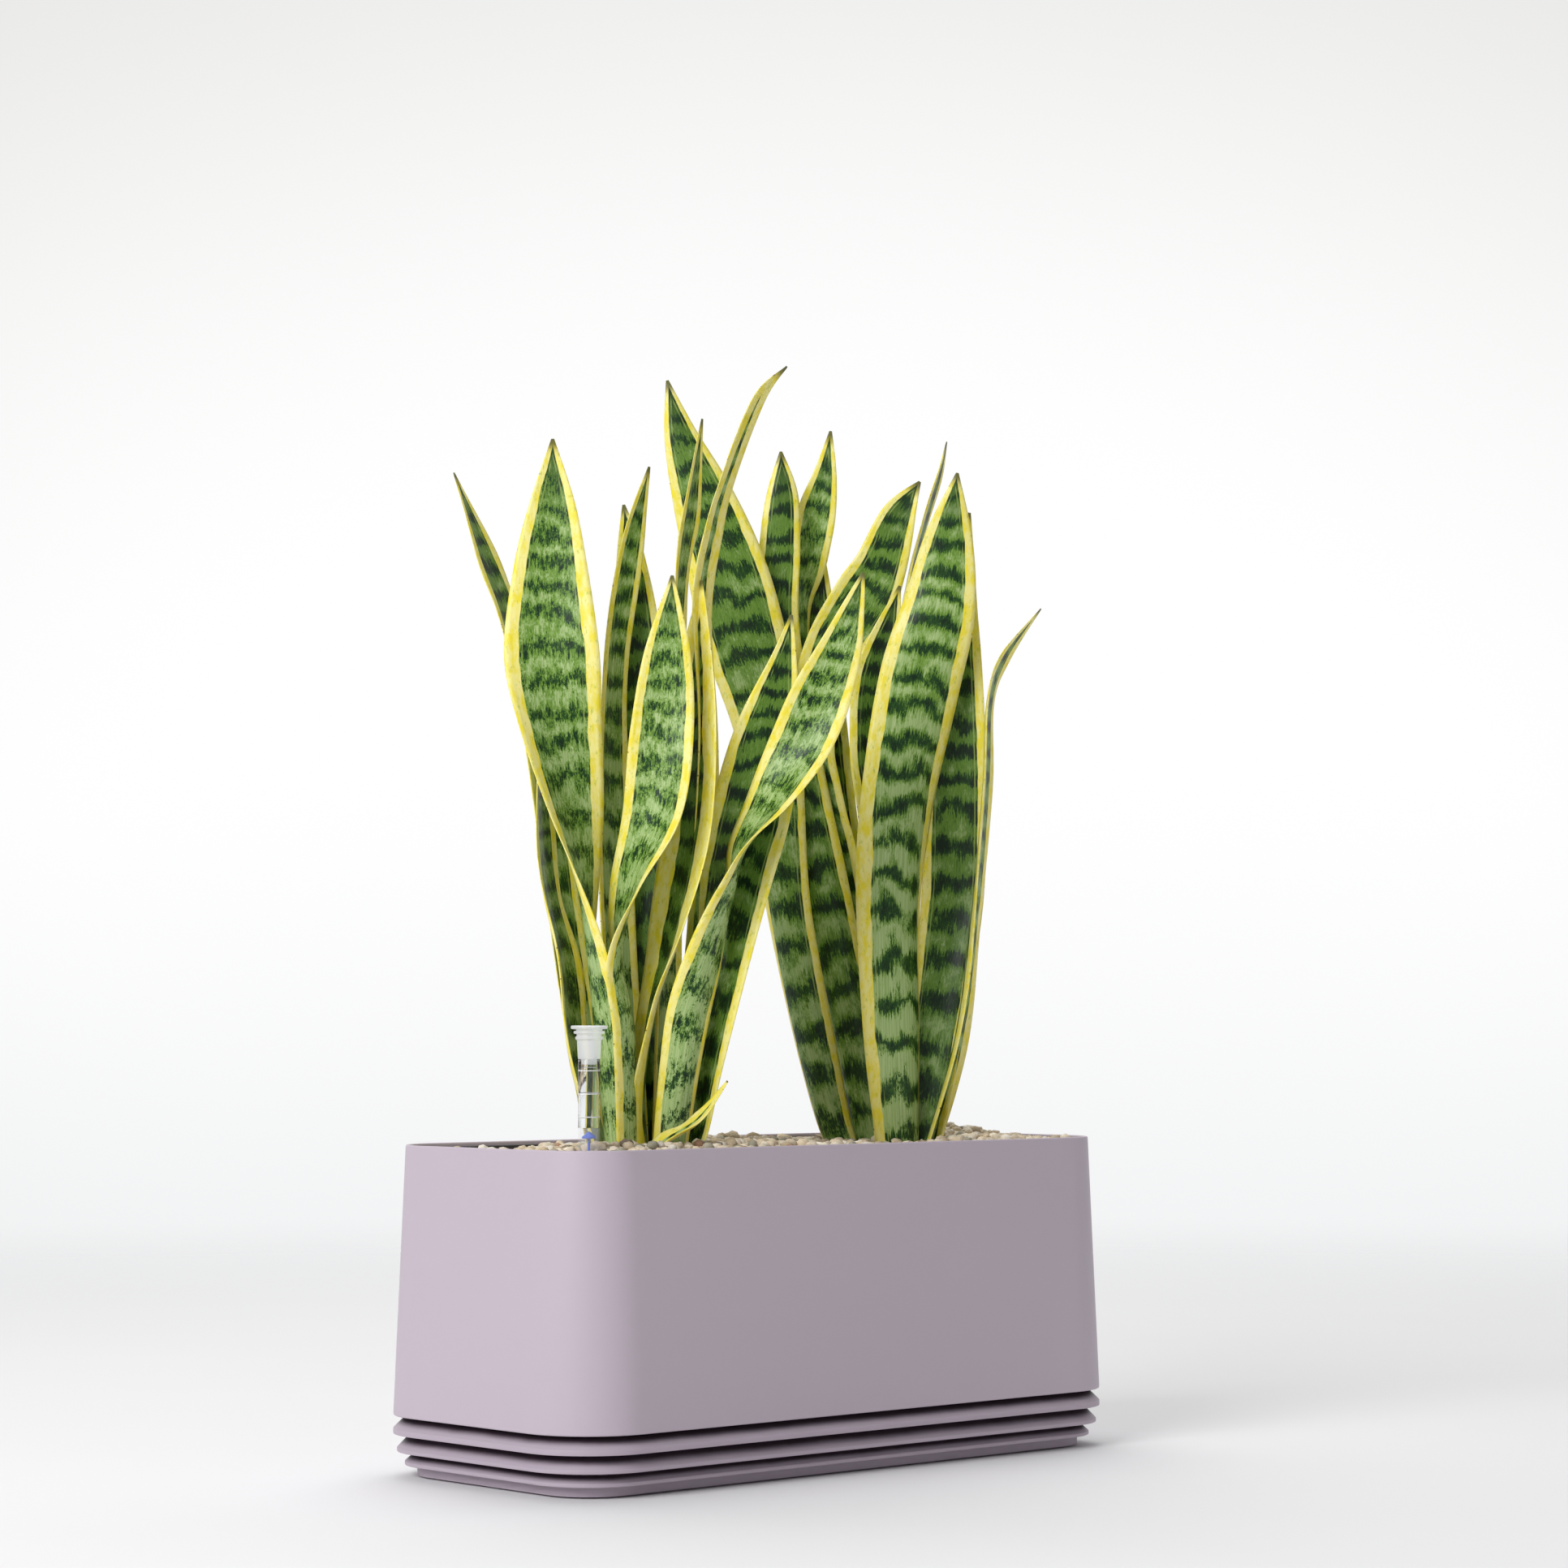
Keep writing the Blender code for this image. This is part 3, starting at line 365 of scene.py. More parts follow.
def leaf_finish():
    """Snake plant leaf: yellow margins, dark ragged cross-bands or flecks, waxy skin.

    The blade's own UV map holds centimetres across it and along it.  `edge` is the distance
    to the nearest margin and `margin` the yellow margin's width, both in metres; `part` is the
    place between crown and tip, `fleck` how far the bands break up, and the painted-shade attribute how much
    painted shade darkens the leaf.
    """
    finish = Finish("snake_plant_leaf", Coat_Roughness=0.22, Specular_IOR_Level=0.2)
    uv = finish.node("ShaderNodeUVMap", {"uv_map": "blade"}, {})
    x = finish.node("ShaderNodeSeparateXYZ", {}, {0: uv}, 0)
    y = finish.node("ShaderNodeSeparateXYZ", {}, {0: uv}, 1)
    edge = finish.attribute("edge")
    margin = finish.attribute("margin")
    part = finish.attribute("part")
    fleck = finish.attribute("fleck")
    painted_shade = finish.attribute("painted_shade")

    def grain(across, along, offset, detail=2.0, roughness=0.6):
        return finish.noise(finish.vector(x * across, y * along, offset), 1.0, detail, roughness)

    teeth = grain(7.5, 0.80, 1.0, 4.0, 0.78)
    hairs = grain(13.0, 1.5, 2.0, 3.0, 0.7)
    drift = grain(0.40, 0.20, 3.0)
    cloud = grain(0.9, 0.45, 4.0, 3.0)
    specks = grain(11.0, 4.0, 5.0, 3.0, 0.8)
    blotch = grain(3.0, 1.2, 6.0, 4.0, 0.75)
    veins = grain(11.0, 0.12, 7.0)
    ribs = grain(4.0, 0.05, 8.0)

    shifted = y + (teeth - 0.5) * 3.6 + (drift - 0.5) * 5.0 + x * x * 0.10
    wave = (shifted * 2.0 + part * part * part * 34.0).sine() * 0.5 + 0.5
    bands = wave * 0.62 + (cloud - 0.5) * 1.1 + (specks - 0.5) * 0.65 + part * 0.10 + 0.055
    flecks = 0.40 + (blotch - 0.5) * 2.3 + (specks - 0.5) * 1.3 + (wave - 0.5) * 0.42 + part * 0.03
    # The painted-shade amount pushes the bands and the mid-green darker: painted shade on leaves behind
    # others.
    cover = bands * (1.0 - fleck) + flecks * fleck + (hairs - 0.5) * 0.15 + painted_shade * 0.12 - fleck * 0.025
    dark = cover.step(0.50, 0.57)
    deepest = cover.step(0.62, 0.85)
    middle = (cover + part * 0.30 + painted_shade * 0.35 + (cloud - 0.5) * 0.5).step(0.30, 0.62)

    pale = finish.mix(veins.step(0.3, 0.7), (0.300, 0.455, 0.140), (0.490, 0.625, 0.290))
    green = finish.mix(hairs.step(0.3, 0.7), (0.105, 0.230, 0.024), (0.215, 0.375, 0.060))
    shade = finish.mix(hairs.step(0.35, 0.65), (0.012, 0.058, 0.008), (0.034, 0.105, 0.018))
    blade = finish.mix(middle, pale, green)
    blade = finish.mix(dark, blade, shade)
    blade = finish.mix(deepest, blade, (0.006, 0.024, 0.009))
    blade = finish.mix(part.step(0.88, 0.995) * 0.75, blade, (0.018, 0.055, 0.014))
    # Painted shade: the whole blade is multiplied darker by the leaf's painted-shade amount.
    blade = finish.mix(painted_shade * 0.8, blade, finish.mix(1.0, blade, (0.35, 0.42, 0.30), "MULTIPLY"))

    inner = edge - margin
    rail = inner.step(0.0012, 0.0015) * (1.0 - inner.step(0.0020, 0.0025))
    blade = finish.mix(rail * ribs.step(0.42, 0.56) * 0.6, blade, (0.36, 0.46, 0.12))

    mottle = grain(1.8, 0.7, 9.0, 4.0, 0.65)
    lime = grain(3.5, 1.4, 10.0, 4.0, 0.7)
    cream = finish.mix(mottle.step(0.40, 0.64), (0.96, 0.88, 0.31), (0.92, 0.78, 0.05))
    cream = finish.mix(lime.step(0.55, 0.70) * 0.7, cream, (0.48, 0.56, 0.05))
    cream = finish.mix((1.0 - part.step(0.0, 0.30)) * 0.3, cream, (0.55, 0.50, 0.04))
    uneven = grain(0.3, 0.28, 11.0)
    on_blade = (edge - margin * (0.72 + uneven * 0.5) - (teeth - 0.5) * 0.0010).step(-0.0002, 0.0003)
    tint = finish.mix(on_blade, cream, blade)
    scar = grain(1.0, 2.2, 12.0, 3.0)
    tint = finish.mix((1.0 - edge.step(0.0002, 0.0009)) * scar.step(0.62, 0.72), tint, (0.22, 0.11, 0.03))
    tint = finish.mix(part.step(0.975, 0.995) * 0.85, tint, (0.022, 0.035, 0.014))

    skin = finish.bump(ribs * 0.8 + hairs * 0.15 + teeth * 0.2, 0.00045, 0.55)
    wax = 0.42 + (blotch - 0.5) * 0.18
    gloss = 0.20 + (ribs - 0.5) * 0.4
    return finish.feed(Base_Color=tint, Roughness=wax, Coat_Weight=gloss, Normal=skin)


def frosted_finish(name, cover, glow):
    """Frosted translucent plastic with moulding swirls, milky, with a faint white glow that is painted light
    for light passing through it.
    """
    finish = Finish(name, Alpha=cover, Specular_IOR_Level=0.6, Coat_Weight=0.5, Coat_Roughness=0.05,
                    Emission_Color=(1.0, 1.0, 1.0, 1.0), Emission_Strength=glow)
    place = finish.place()
    swirl = finish.noise(finish.stretch(place, (1.0, 1.0, 0.3)), 240.0, 3.0)
    haze = finish.noise(place, 900.0, 2.0)
    tint = finish.mix(swirl, (0.86, 0.88, 0.91), (0.96, 0.97, 0.98))
    return finish.feed(Base_Color=tint, Roughness=0.30 + (haze - 0.5) * 0.15,
                       Normal=finish.bump(swirl, 0.0001, 0.5))


def clear_finish():
    """Clear moulded plastic with faint scuffs."""
    finish = Finish("clear_plastic", Transmission_Weight=1.0, IOR=1.38)
    place = finish.place()
    scuffs = finish.noise(finish.stretch(place, (1.0, 1.0, 0.2)), 700.0, 3.0)
    tint = finish.mix(scuffs, (0.93, 0.95, 0.97), (0.99, 1.0, 1.0))
    return finish.feed(Base_Color=tint, Roughness=0.03 + scuffs.step(0.6, 0.8) * 0.08,
                       Normal=finish.bump(scuffs, 0.00002, 0.3))


def print_finish():
    """White screen-printed marks, thinner in places."""
    finish = Finish("white_marks")
    wear = finish.noise(finish.place(), 1800.0, 3.0)
    tint = finish.mix(wear, (0.80, 0.82, 0.84), (0.97, 0.97, 0.97))
    return finish.feed(Base_Color=tint, Roughness=0.45 + (wear - 0.5) * 0.1)


def blue_finish():
    return moulded_plastic("float_blue", (0.004, 0.10, 0.72), 0.32, 0.00001, 0.10)


def foam_finish():
    return moulded_plastic("float_foam", (0.78, 0.78, 0.76), 0.7, 0.00008, 0.06)


def add_piece(name, bm, finish, body, replaced=(), angle=SMOOTH_ANGLE):
    """Turn a bmesh into a piece that rides on a body."""
    mesh = bpy.data.meshes.new(name)
    bm.to_mesh(mesh)
    bm.free()
    mesh.materials.append(finish)
    mesh.shade_smooth()
    mesh.set_sharp_from_angle(angle=angle)
    piece = bpy.data.objects.new(name, mesh)
    bpy.context.scene.collection.objects.link(piece)
    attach(piece, body)
    if replaced:
        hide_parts(*replaced)
    return piece


def outline_start(bm, inset, z):
    """The planter's rounded outline as a loop of edges, with each vertex's outward normal."""
    normals = []
    for quarter in range(4):
        for step in range(CORNER_SEGMENTS + 1):
            angle = math.radians(90) * (quarter + step / CORNER_SEGMENTS)
            normals.append((quarter, Vector((math.cos(angle), math.sin(angle), 0.0))))
    centres = [Vector((sx * (HALF_X - CORNER), sy * (HALF_Y - CORNER), z))
               for sx, sy in ((1, 1), (-1, 1), (-1, -1), (1, -1))]
    verts = [bm.verts.new(centres[quarter] + normal * (CORNER - inset)) for quarter, normal in normals]
    edges = [bm.edges.new((verts[i - 1], verts[i])) for i in range(len(verts))]
    return verts, edges, [normal for _, normal in normals]


def swept(profile, closed=True):
    """Extrude the outline from one (inset, height) of the profile to the next, in metres."""
    bm = bmesh.new()
    verts, edges, normals = outline_start(bm, *profile[0])
    if not closed:
        bm.faces.new(verts)
    stations = list(profile[1:]) + ([profile[0]] if closed else [])
    previous = profile[0]
    for station in stations:
        found = {tuple(round(c, 7) for c in vert.co): normal for vert, normal in zip(verts, normals)}
        made = bmesh.ops.extrude_edge_only(bm, edges=edges)["geom"]
        verts = [item for item in made if isinstance(item, bmesh.types.BMVert)]
        edges = [item for item in made if isinstance(item, bmesh.types.BMEdge) and item.verts[0] in verts
                 and item.verts[1] in verts]
        normals = [found[tuple(round(c, 7) for c in vert.co)] for vert in verts]
        for vert, normal in zip(verts, normals):
            vert.co += normal * (previous[0] - station[0]) + UP * (station[1] - previous[1])
        previous = station
    if closed:
        bmesh.ops.remove_doubles(bm, verts=bm.verts, dist=1e-6)
    else:
        bmesh.ops.contextual_create(bm, geom=edges)
    bmesh.ops.recalc_face_normals(bm, faces=bm.faces)
    if bm.calc_volume(signed=True) < 0.0:
        bmesh.ops.reverse_faces(bm, faces=bm.faces)
    return bm


def turned(profile, x=0.0, y=0.0, steps=TURN_STEPS):
    """Spin a profile of (radius, height), in metres, about an upright axis."""
    bm = bmesh.new()
    verts = [bm.verts.new((radius, 0.0, z)) for radius, z in profile]
    edges = [bm.edges.new(pair) for pair in zip(verts, verts[1:])]
    if profile[0][0] > 0.0:
        edges.append(bm.edges.new((verts[-1], verts[0])))
    bmesh.ops.spin(bm, geom=verts + edges, cent=(0, 0, 0), axis=(0, 0, 1), angle=math.tau,
                   steps=steps, use_merge=True)
    bmesh.ops.remove_doubles(bm, verts=bm.verts, dist=1e-7)
    bmesh.ops.recalc_face_normals(bm, faces=bm.faces)
    if bm.calc_volume(signed=True) < 0.0:
        bmesh.ops.reverse_faces(bm, faces=bm.faces)
    bmesh.ops.translate(bm, verts=bm.verts, vec=(x, y, 0.0))
    return bm


def scaled(points):
    return [(a * MM, b * MM) for a, b in points]


def round_over(points, radius, count=4):
    """Round each corner of a profile that is wide enough, with `count` steps."""
    made = []
    total = len(points)
    for index, here in enumerate(points):
        before, after = Vector(points[index - 1]), Vector(points[(index + 1) % total])
        corner = Vector(here)
        reach = min(radius, (before - corner).length * 0.45, (after - corner).length * 0.45)
        start = corner + (before - corner).normalized() * reach
        end = corner + (after - corner).normalized() * reach
        for step in range(count + 1):
            t = step / count
            made.append(tuple(start * (1 - t) ** 2 + corner * 2 * t * (1 - t) + end * t ** 2))
    return made


def rim_inset(z):
    """Inset of the shell's outer face at a height, both in millimetres."""
    return 7.1 * (z - 40.0) / (216.0 - 40.0)


def make_shell():
    outer = rim_inset(216.0)
    profile = [(0.0, 40.0), (outer, 216.0), (outer + 2.7, 216.0), (rim_inset(201) + 3.0, 201.0),
               (14.6, 201.0), (14.6, 199.4), (rim_inset(193) + 3.0, 193.0), (3.0, 40.0)]
    bm = swept(scaled(round_over(profile, 1.25)))
    return add_piece("shell", bm, shell_finish(), "shell", ["outer_shell"])


def walk_outline(inset, pitch):
    """Evenly spaced places round the outline, as (place, heading), in metres."""
    bm = bmesh.new()
    verts, _, _ = outline_start(bm, inset, 0.0)
    points = [vert.co.copy() for vert in verts]
    bm.free()
    legs = list(zip(points, points[1:] + points[:1]))
    total = sum((b - a).length for a, b in legs)
    count = round(total / pitch)
    places = []
    travelled = 0.0
    for a, b in legs:
        length = (b - a).length
        while len(places) < count and len(places) * total / count <= travelled + length:
            part = (len(places) * total / count - travelled) / length
            places.append((a.lerp(b, part), math.atan2(b.y - a.y, b.x - a.x)))
        travelled += length
    return places


# Each ring: (name, tip's inset, tip's underside, tip's top, root's inset, root's top).
LOUVRES = (
    ("upper_louvre", 0.0, 28.1, 31.6, 7.4, 38.7),
    ("middle_louvre", 2.5, 16.6, 18.9, 9.9, 26.5),
    ("lower_louvre", 7.7, 7.8, 10.0, 13.3, 14.7),
)


def add_posts(bm):
    """Spacer posts on the upper louvre, out of sight behind the shell's lower edge."""
    for place, heading in walk_outline(POST_INSET, POST_PITCH):
        made = bmesh.ops.create_cube(bm, size=1.0)
        move = (Matrix.Translation(place + UP * POST_HEIGHT) @ Matrix.Rotation(heading, 4, "Z")
                @ Matrix.Diagonal((*POST_SIZE, 1.0)))
        bmesh.ops.transform(bm, matrix=move, verts=made["verts"])
        edges = dict.fromkeys(edge for vert in made["verts"] for edge in vert.link_edges)
        bmesh.ops.bevel(bm, geom=list(edges), offset=POST_BEVEL, segments=1, affect="EDGES", profile=0.5,
                        material=-1)


def make_louvres():
    """Three rings with sloping upper faces; each one's `depth` runs from its tip to its root and places the
    painted shade between the rings.
    """
    plastic = louvre_finish()
    seat = FOOT_INSET / MM - 0.3
    for name, tip, under, top, inner, height in LOUVRES:
        profile = [(tip, under), (tip, top), (inner, height), (seat, height), (seat, height - 2.2),
                   (inner + 1.0, height - 2.2), (tip + 3.2, under)]
        bm = swept(scaled(round_over(profile, 0.45)))
        if name == "upper_louvre":
            add_posts(bm)
        # `depth` places the louvres' painted shade; the spacer posts sit at the root and come out fully
        # shaded.
        depth_layer = bm.verts.layers.float.new("depth")
        for vert in bm.verts:
            vert[depth_layer] = (vert.co.z / MM - top) / (height - top)
        add_piece(name.replace("louvre", "louvre_ring"), bm, plastic, "base", [name])


def make_base_frame():
    """Foot ring and upright wall; its flange carries the tray."""
    profile = [(15.9, 1.0), (15.9, 38.4), (17.9, 38.4), (17.9, 3.5), (45, 3.5), (45, 1.0)]
    bm = swept(scaled(round_over(profile, 0.5, 2)))
    # The foot ring takes the louvres' darker tint: painted shade.
    return add_piece("foot_ring", bm, louvre_finish(), "base", ["base_frame"])


def make_tray():
    profile = [(24, 3.8), (19.5, 8), (18.5, 60), (16.6, 60), (16.6, 62), (20.6, 62), (21.6, 12), (25, 6.6)]
    bm = swept(scaled(profile), closed=False)
    return add_piece("water_tray", bm, dark_finish(), "base", ["reservoir_tray"])


def make_smooth_copy(node, body, finish):
    """A merged, smoothly shaded copy of a frame piece whose shape is already right."""
    bm = bmesh.new()
    bm.from_mesh(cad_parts[node].data)
    bmesh.ops.remove_doubles(bm, verts=bm.verts, dist=1e-6)
    return add_piece(f"{node}_finished", bm, finish, body, [node])


def catmull(points, position):
    """Smooth interpolation through a list of tuples; position runs from 0 to the last index."""
    index = min(int(position), len(points) - 2)
    t = position - index
    rows = [points[max(0, min(len(points) - 1, index + k))] for k in (-1, 0, 1, 2)]
    out = []
    for a, b, c, d in zip(*rows):
        out.append(b + 0.5 * t * (c - a + t * (2 * a - 5 * b + 4 * c - d + t * (3 * (b - c) + d - a))))
    return out


class Leaf:
    """One leaf's centre line, width, turn and curl along its rows."""

    def __init__(self, side, name, rows):
        self.side = side
        self.name = name
        self.rows = rows
        self.sign = -1.0 if name in CONVEX_LEAVES else 1.0
        self.seed = sum(ord(letter) * (index + 3) for index, letter in enumerate(side + name)) % 97
        self.flecked = FLECKED.get(name, 0.15)
        self.painted_shade = PAINTED_LEAF_SHADE.get(name, 0.0)
        self.margin = MARGINS.get(name, 1.0)

    def centre(self, position):
        across, away, height = catmull(self.rows, position)[:3]
        return CLUMPS[self.side] + (ACROSS * across + AWAY * away + UP * height) * MM

    def point(self, part, u):
        """Place on the blade: part from crown (0) to tip (1), u from -0.5 to 0.5 across."""
        last = len(self.rows) - 1
        position = part * last
        width, turn = catmull(self.rows, position)[3:5]
        width = max(width, 1.2) * MM
        ahead = self.centre(min(position + 0.05, last)) - self.centre(max(position - 0.05, 0.0))
        lean = ahead.normalized()
        angle = math.radians(turn)
        across = ACROSS * math.cos(angle) + AWAY * math.sin(angle)
        across = (across - lean * across.dot(lean)).normalized()
        front = across.cross(lean).normalized()
        low, high = self.rows[0][2], self.rows[-1][2]
        rise = max(0.0, min(1.0, (self.centre(position).z / MM - low) / (high - low)))
        base = CONVEX_CURL if self.sign < 0 else BASE_CURL
        curl = math.radians(TIP_CURL + (base - TIP_CURL) * (1.0 - rise) ** 1.6) * self.sign
        radius = width / curl
        swing = curl * u
        ripple = math.sin(part * 17.0 + self.seed + (2.0 if u > 0 else 0.0)) * 1.1 * MM * (2 * abs(u)) ** 3
        ripple *= min(1.0, width / (30 * MM)) * min(1.0, part * 4)
        channel = 0.9 * MM * math.cos(math.pi * u) ** 6 * (1.0 - part)
        return (self.centre(position) + across * radius * math.sin(swing)
                + front * (radius * (1.0 - math.cos(swing)) + ripple - channel), width)


def make_leaf(leaf, finish, replaced):
    """Shape a grid into the leaf's blade and give it a thickness that thins to the margins."""
    bm = bmesh.new()
    bmesh.ops.create_grid(bm, x_segments=LEAF_COLUMNS, y_segments=LEAF_ROWS, size=0.5)
    uv_layer = bm.loops.layers.uv.new("blade")
    edge_layer = bm.verts.layers.float.new("edge")
    part_layer = bm.verts.layers.float.new("part")
    margin_layer = bm.verts.layers.float.new("margin")
    fleck_layer = bm.verts.layers.float.new("fleck")
    painted_shade_layer = bm.verts.layers.float.new("painted_shade")
    weight = bm.verts.layers.deform.new()
    span = {}
    steps = 200
    last = len(leaf.rows) - 1
    travelled = [0.0]
    for step in range(steps):
        travelled.append(travelled[-1] + (leaf.centre((step + 1) / steps * last)
                                          - leaf.centre(step / steps * last)).length)
    for vert in bm.verts:
        u, part = vert.co.x, vert.co.y + 0.5
        place, width = leaf.point(part, u)
        length = travelled[round(part * steps)]
        span[vert] = (u * width * 100.0, length * 100.0 + leaf.seed * 7.3)
        vert[edge_layer] = (0.5 - abs(u)) * width
        vert[margin_layer] = (1.6 * MM + 0.115 * width) * leaf.margin
        vert[fleck_layer] = leaf.flecked
        vert[painted_shade_layer] = leaf.painted_shade
        vert[part_layer] = length / travelled[-1]
        vert[weight][0] = (0.25 + 0.75 * (1 - (2 * abs(u)) ** 3)) * (1 - 0.75 * part ** 3)
        vert.co = place
    for face in bm.faces:
        for loop in face.loops:
            loop[uv_layer].uv = span[loop.vert]
    piece = add_piece(f"{leaf.side}_{leaf.name}_leaf", bm, finish, "grow_pot", replaced,
                      math.radians(80))
    piece.vertex_groups.new(name="thickness")
    solid = piece.modifiers.new("thickness", "SOLIDIFY")
    solid.thickness = LEAF_THICKNESS
    solid.offset = 0.0
    solid.vertex_group = "thickness"
    solid.use_even_offset = False
    return piece


def make_plants():
    finish = leaf_finish()
    leaves = [Leaf(side, name, rows) for side, table in LEAVES.items() for name, rows in table.items()]
    for leaf in leaves:
        make_leaf(leaf, finish, [f"{leaf.side}_plant"])
    return leaves


def bed_height(x, y):
    """Top of the pebbles: heaped round the plants, lower at the left end, ragged elsewhere."""
    inward = min((HALF_X - abs(x) - 14 * MM) / (30 * MM), (HALF_Y - abs(y) - 14 * MM) / (30 * MM))
    inward = max(0.0, min(1.0, inward))
    rise = inward * inward * (3 - 2 * inward)
    height = 211.3 * MM
    for px, py, width, top in HEAPS:
        gap = math.hypot(x - px, y - py)
        height += top * math.exp(-(gap / width) ** 2) * (0.35 + 0.65 * rise)
    return height + noise.noise(Vector((x * 28, y * 28, 3.1))) * 1.6 * MM


def inside_pot(x, y, margin):
    """Whether a place on the plan lies inside the pot's opening, less a margin."""
    inset = 13.8 * MM + margin
    radius = CORNER - inset
    dx = max(0.0, abs(x) - (HALF_X - CORNER))
    dy = max(0.0, abs(y) - (HALF_Y - CORNER))
    return abs(x) < HALF_X - inset and abs(y) < HALF_Y - inset and math.hypot(dx, dy) < radius


# Heaps in the pebbles: (x, y, width, height) in metres.
HEAPS = (
    (-0.08, -0.075, 0.070, 0.0055), (0.0, 0.03, 0.050, 0.0045), (0.185, 0.015, 0.050, 0.0095),
    (0.16, -0.06, 0.040, 0.0030), (-0.22, 0.03, 0.035, -0.0030), (-0.19, 0.08, 0.045, -0.0030),
    (-0.175, -0.055, 0.040, 0.0045),
)
PEBBLE_TINTS = (
    ((0.72, 0.60, 0.44), 32), ((0.80, 0.70, 0.56), 30), ((0.56, 0.45, 0.31), 14), ((0.46, 0.42, 0.33), 8),
    ((0.36, 0.34, 0.26), 5), ((0.40, 0.24, 0.16), 3), ((0.86, 0.80, 0.70), 10), ((0.24, 0.19, 0.14), 3),
)


def leaf_feet(leaves):
    """Places on the plan that the leaves take up where they come out of the pebbles."""
    feet = []
    for leaf in leaves:
        last = len(leaf.rows) - 1
        for height in (208, 213, 218):
            part = next(step / 400 for step in range(401) if leaf.centre(step / 400 * last).z >= height * MM)
            feet += [leaf.point(part, u / 8)[0].to_2d() for u in range(-4, 5)]
    return feet


def pebble_ball():
    """A ball of a few dozen faces: a cube, divided and pushed out to a radius of 1."""
    bm = bmesh.new()
    bmesh.ops.create_cube(bm, size=1.0)
    bmesh.ops.subdivide_edges(bm, edges=bm.edges, cuts=1, use_grid_fill=True)
    for vert in bm.verts:
        vert.co.normalize()
    mesh = bpy.data.meshes.new("ball")
    bm.to_mesh(mesh)
    bm.free()
    return mesh


def one_pebble(bm, ball, centre, size, rng):
    """Add a rounded pebble: the ball made lumpy, flattened and turned."""
    first = len(bm.verts)
    bm.from_mesh(ball)
    bm.verts.ensure_lookup_table()
    shape = Matrix.Diagonal((rng.uniform(0.9, 1.3), rng.uniform(0.8, 1.05), rng.uniform(0.62, 0.9))) * size
    turn = Matrix.Rotation(rng.uniform(0, math.tau), 3, "Z") @ Matrix.Rotation(rng.uniform(-0.5, 0.5), 3, "X")
    shift = Vector([rng.uniform(0, 50) for _ in range(3)])
    verts = bm.verts[first:]
    for vert in verts:
        lumpy = vert.co * (1.0 + 0.30 * noise.noise(vert.co * 1.2 + shift))
        vert.co = centre + turn @ (shape @ lumpy)
    return verts


def make_pebbles(leaves):
    """Loose pebbles over the whole opening, kept off the leaves and the gauge."""
    rng = random.Random(12)
    feet = leaf_feet(leaves)
    tints = [tint for tint, share in PEBBLE_TINTS for _ in range(share)]
    ball = pebble_ball()
    whole = bmesh.new()
    for pitch, sink, missing in ((6.6 * MM, 3.2 * MM, 0.0), (7.6 * MM, 0.0, 0.42)):
        depth = pitch * 0.87
        for row in range(int(2 * HALF_Y / depth)):
            bm = bmesh.new()
            tint_layer = bm.verts.layers.float_color.new("tint")
            for column in range(int(2 * HALF_X / pitch)):
                x = -HALF_X + (column + 0.5 * (row % 2) + rng.uniform(-0.3, 0.3)) * pitch
                y = -HALF_Y + (row + rng.uniform(-0.3, 0.3)) * depth
                size = rng.triangular(2.6, 5.4, 3.5) * MM
                tint = tints[rng.randrange(len(tints))]
                shade = rng.uniform(0.85, 1.12)
                lift = rng.uniform(-1.2, 1.6) * MM
                if rng.random() < missing or not inside_pot(x, y, size * 0.9):
                    continue
                if math.hypot(x - GAUGE_X, y - GAUGE_Y) < TUBE_RADIUS + 2.4 * MM + size * 0.8:
                    continue
                if any(math.hypot(x - foot.x, y - foot.y) < size * 0.9 for foot in feet):
                    continue
                centre = Vector((x, y, bed_height(x, y) - sink + lift))
                for vert in one_pebble(bm, ball, centre, size, rng):
                    vert[tint_layer] = (*(channel * shade for channel in tint), 1.0)
            mesh = bpy.data.meshes.new("row")
            bm.to_mesh(mesh)
            bm.free()
            whole.from_mesh(mesh)
            bpy.data.meshes.remove(mesh)
    return add_piece("loose_pebbles", whole, pebble_finish(), "grow_pot", (), math.radians(80))


def make_bed():
    """What lies under the loose pebbles: a rough surface of the same stones, in one dark tint that is painted
    shade in the gaps between them.
    """
    bm = swept(scaled([(18.3, 194.6), (18.0, 199.5), (15.0, 204.2), (14.6, 205.2)]), closed=False)
    # Painted shade: one dark tint for the whole bed, seen only between the loose pebbles.
    tint_layer = bm.verts.layers.float_color.new("tint")
    for vert in bm.verts:
        vert[tint_layer] = (0.20, 0.16, 0.12, 1.0)
    return add_piece("pebble_bed", bm, pebble_finish(), "grow_pot", ["pebble_layer"])


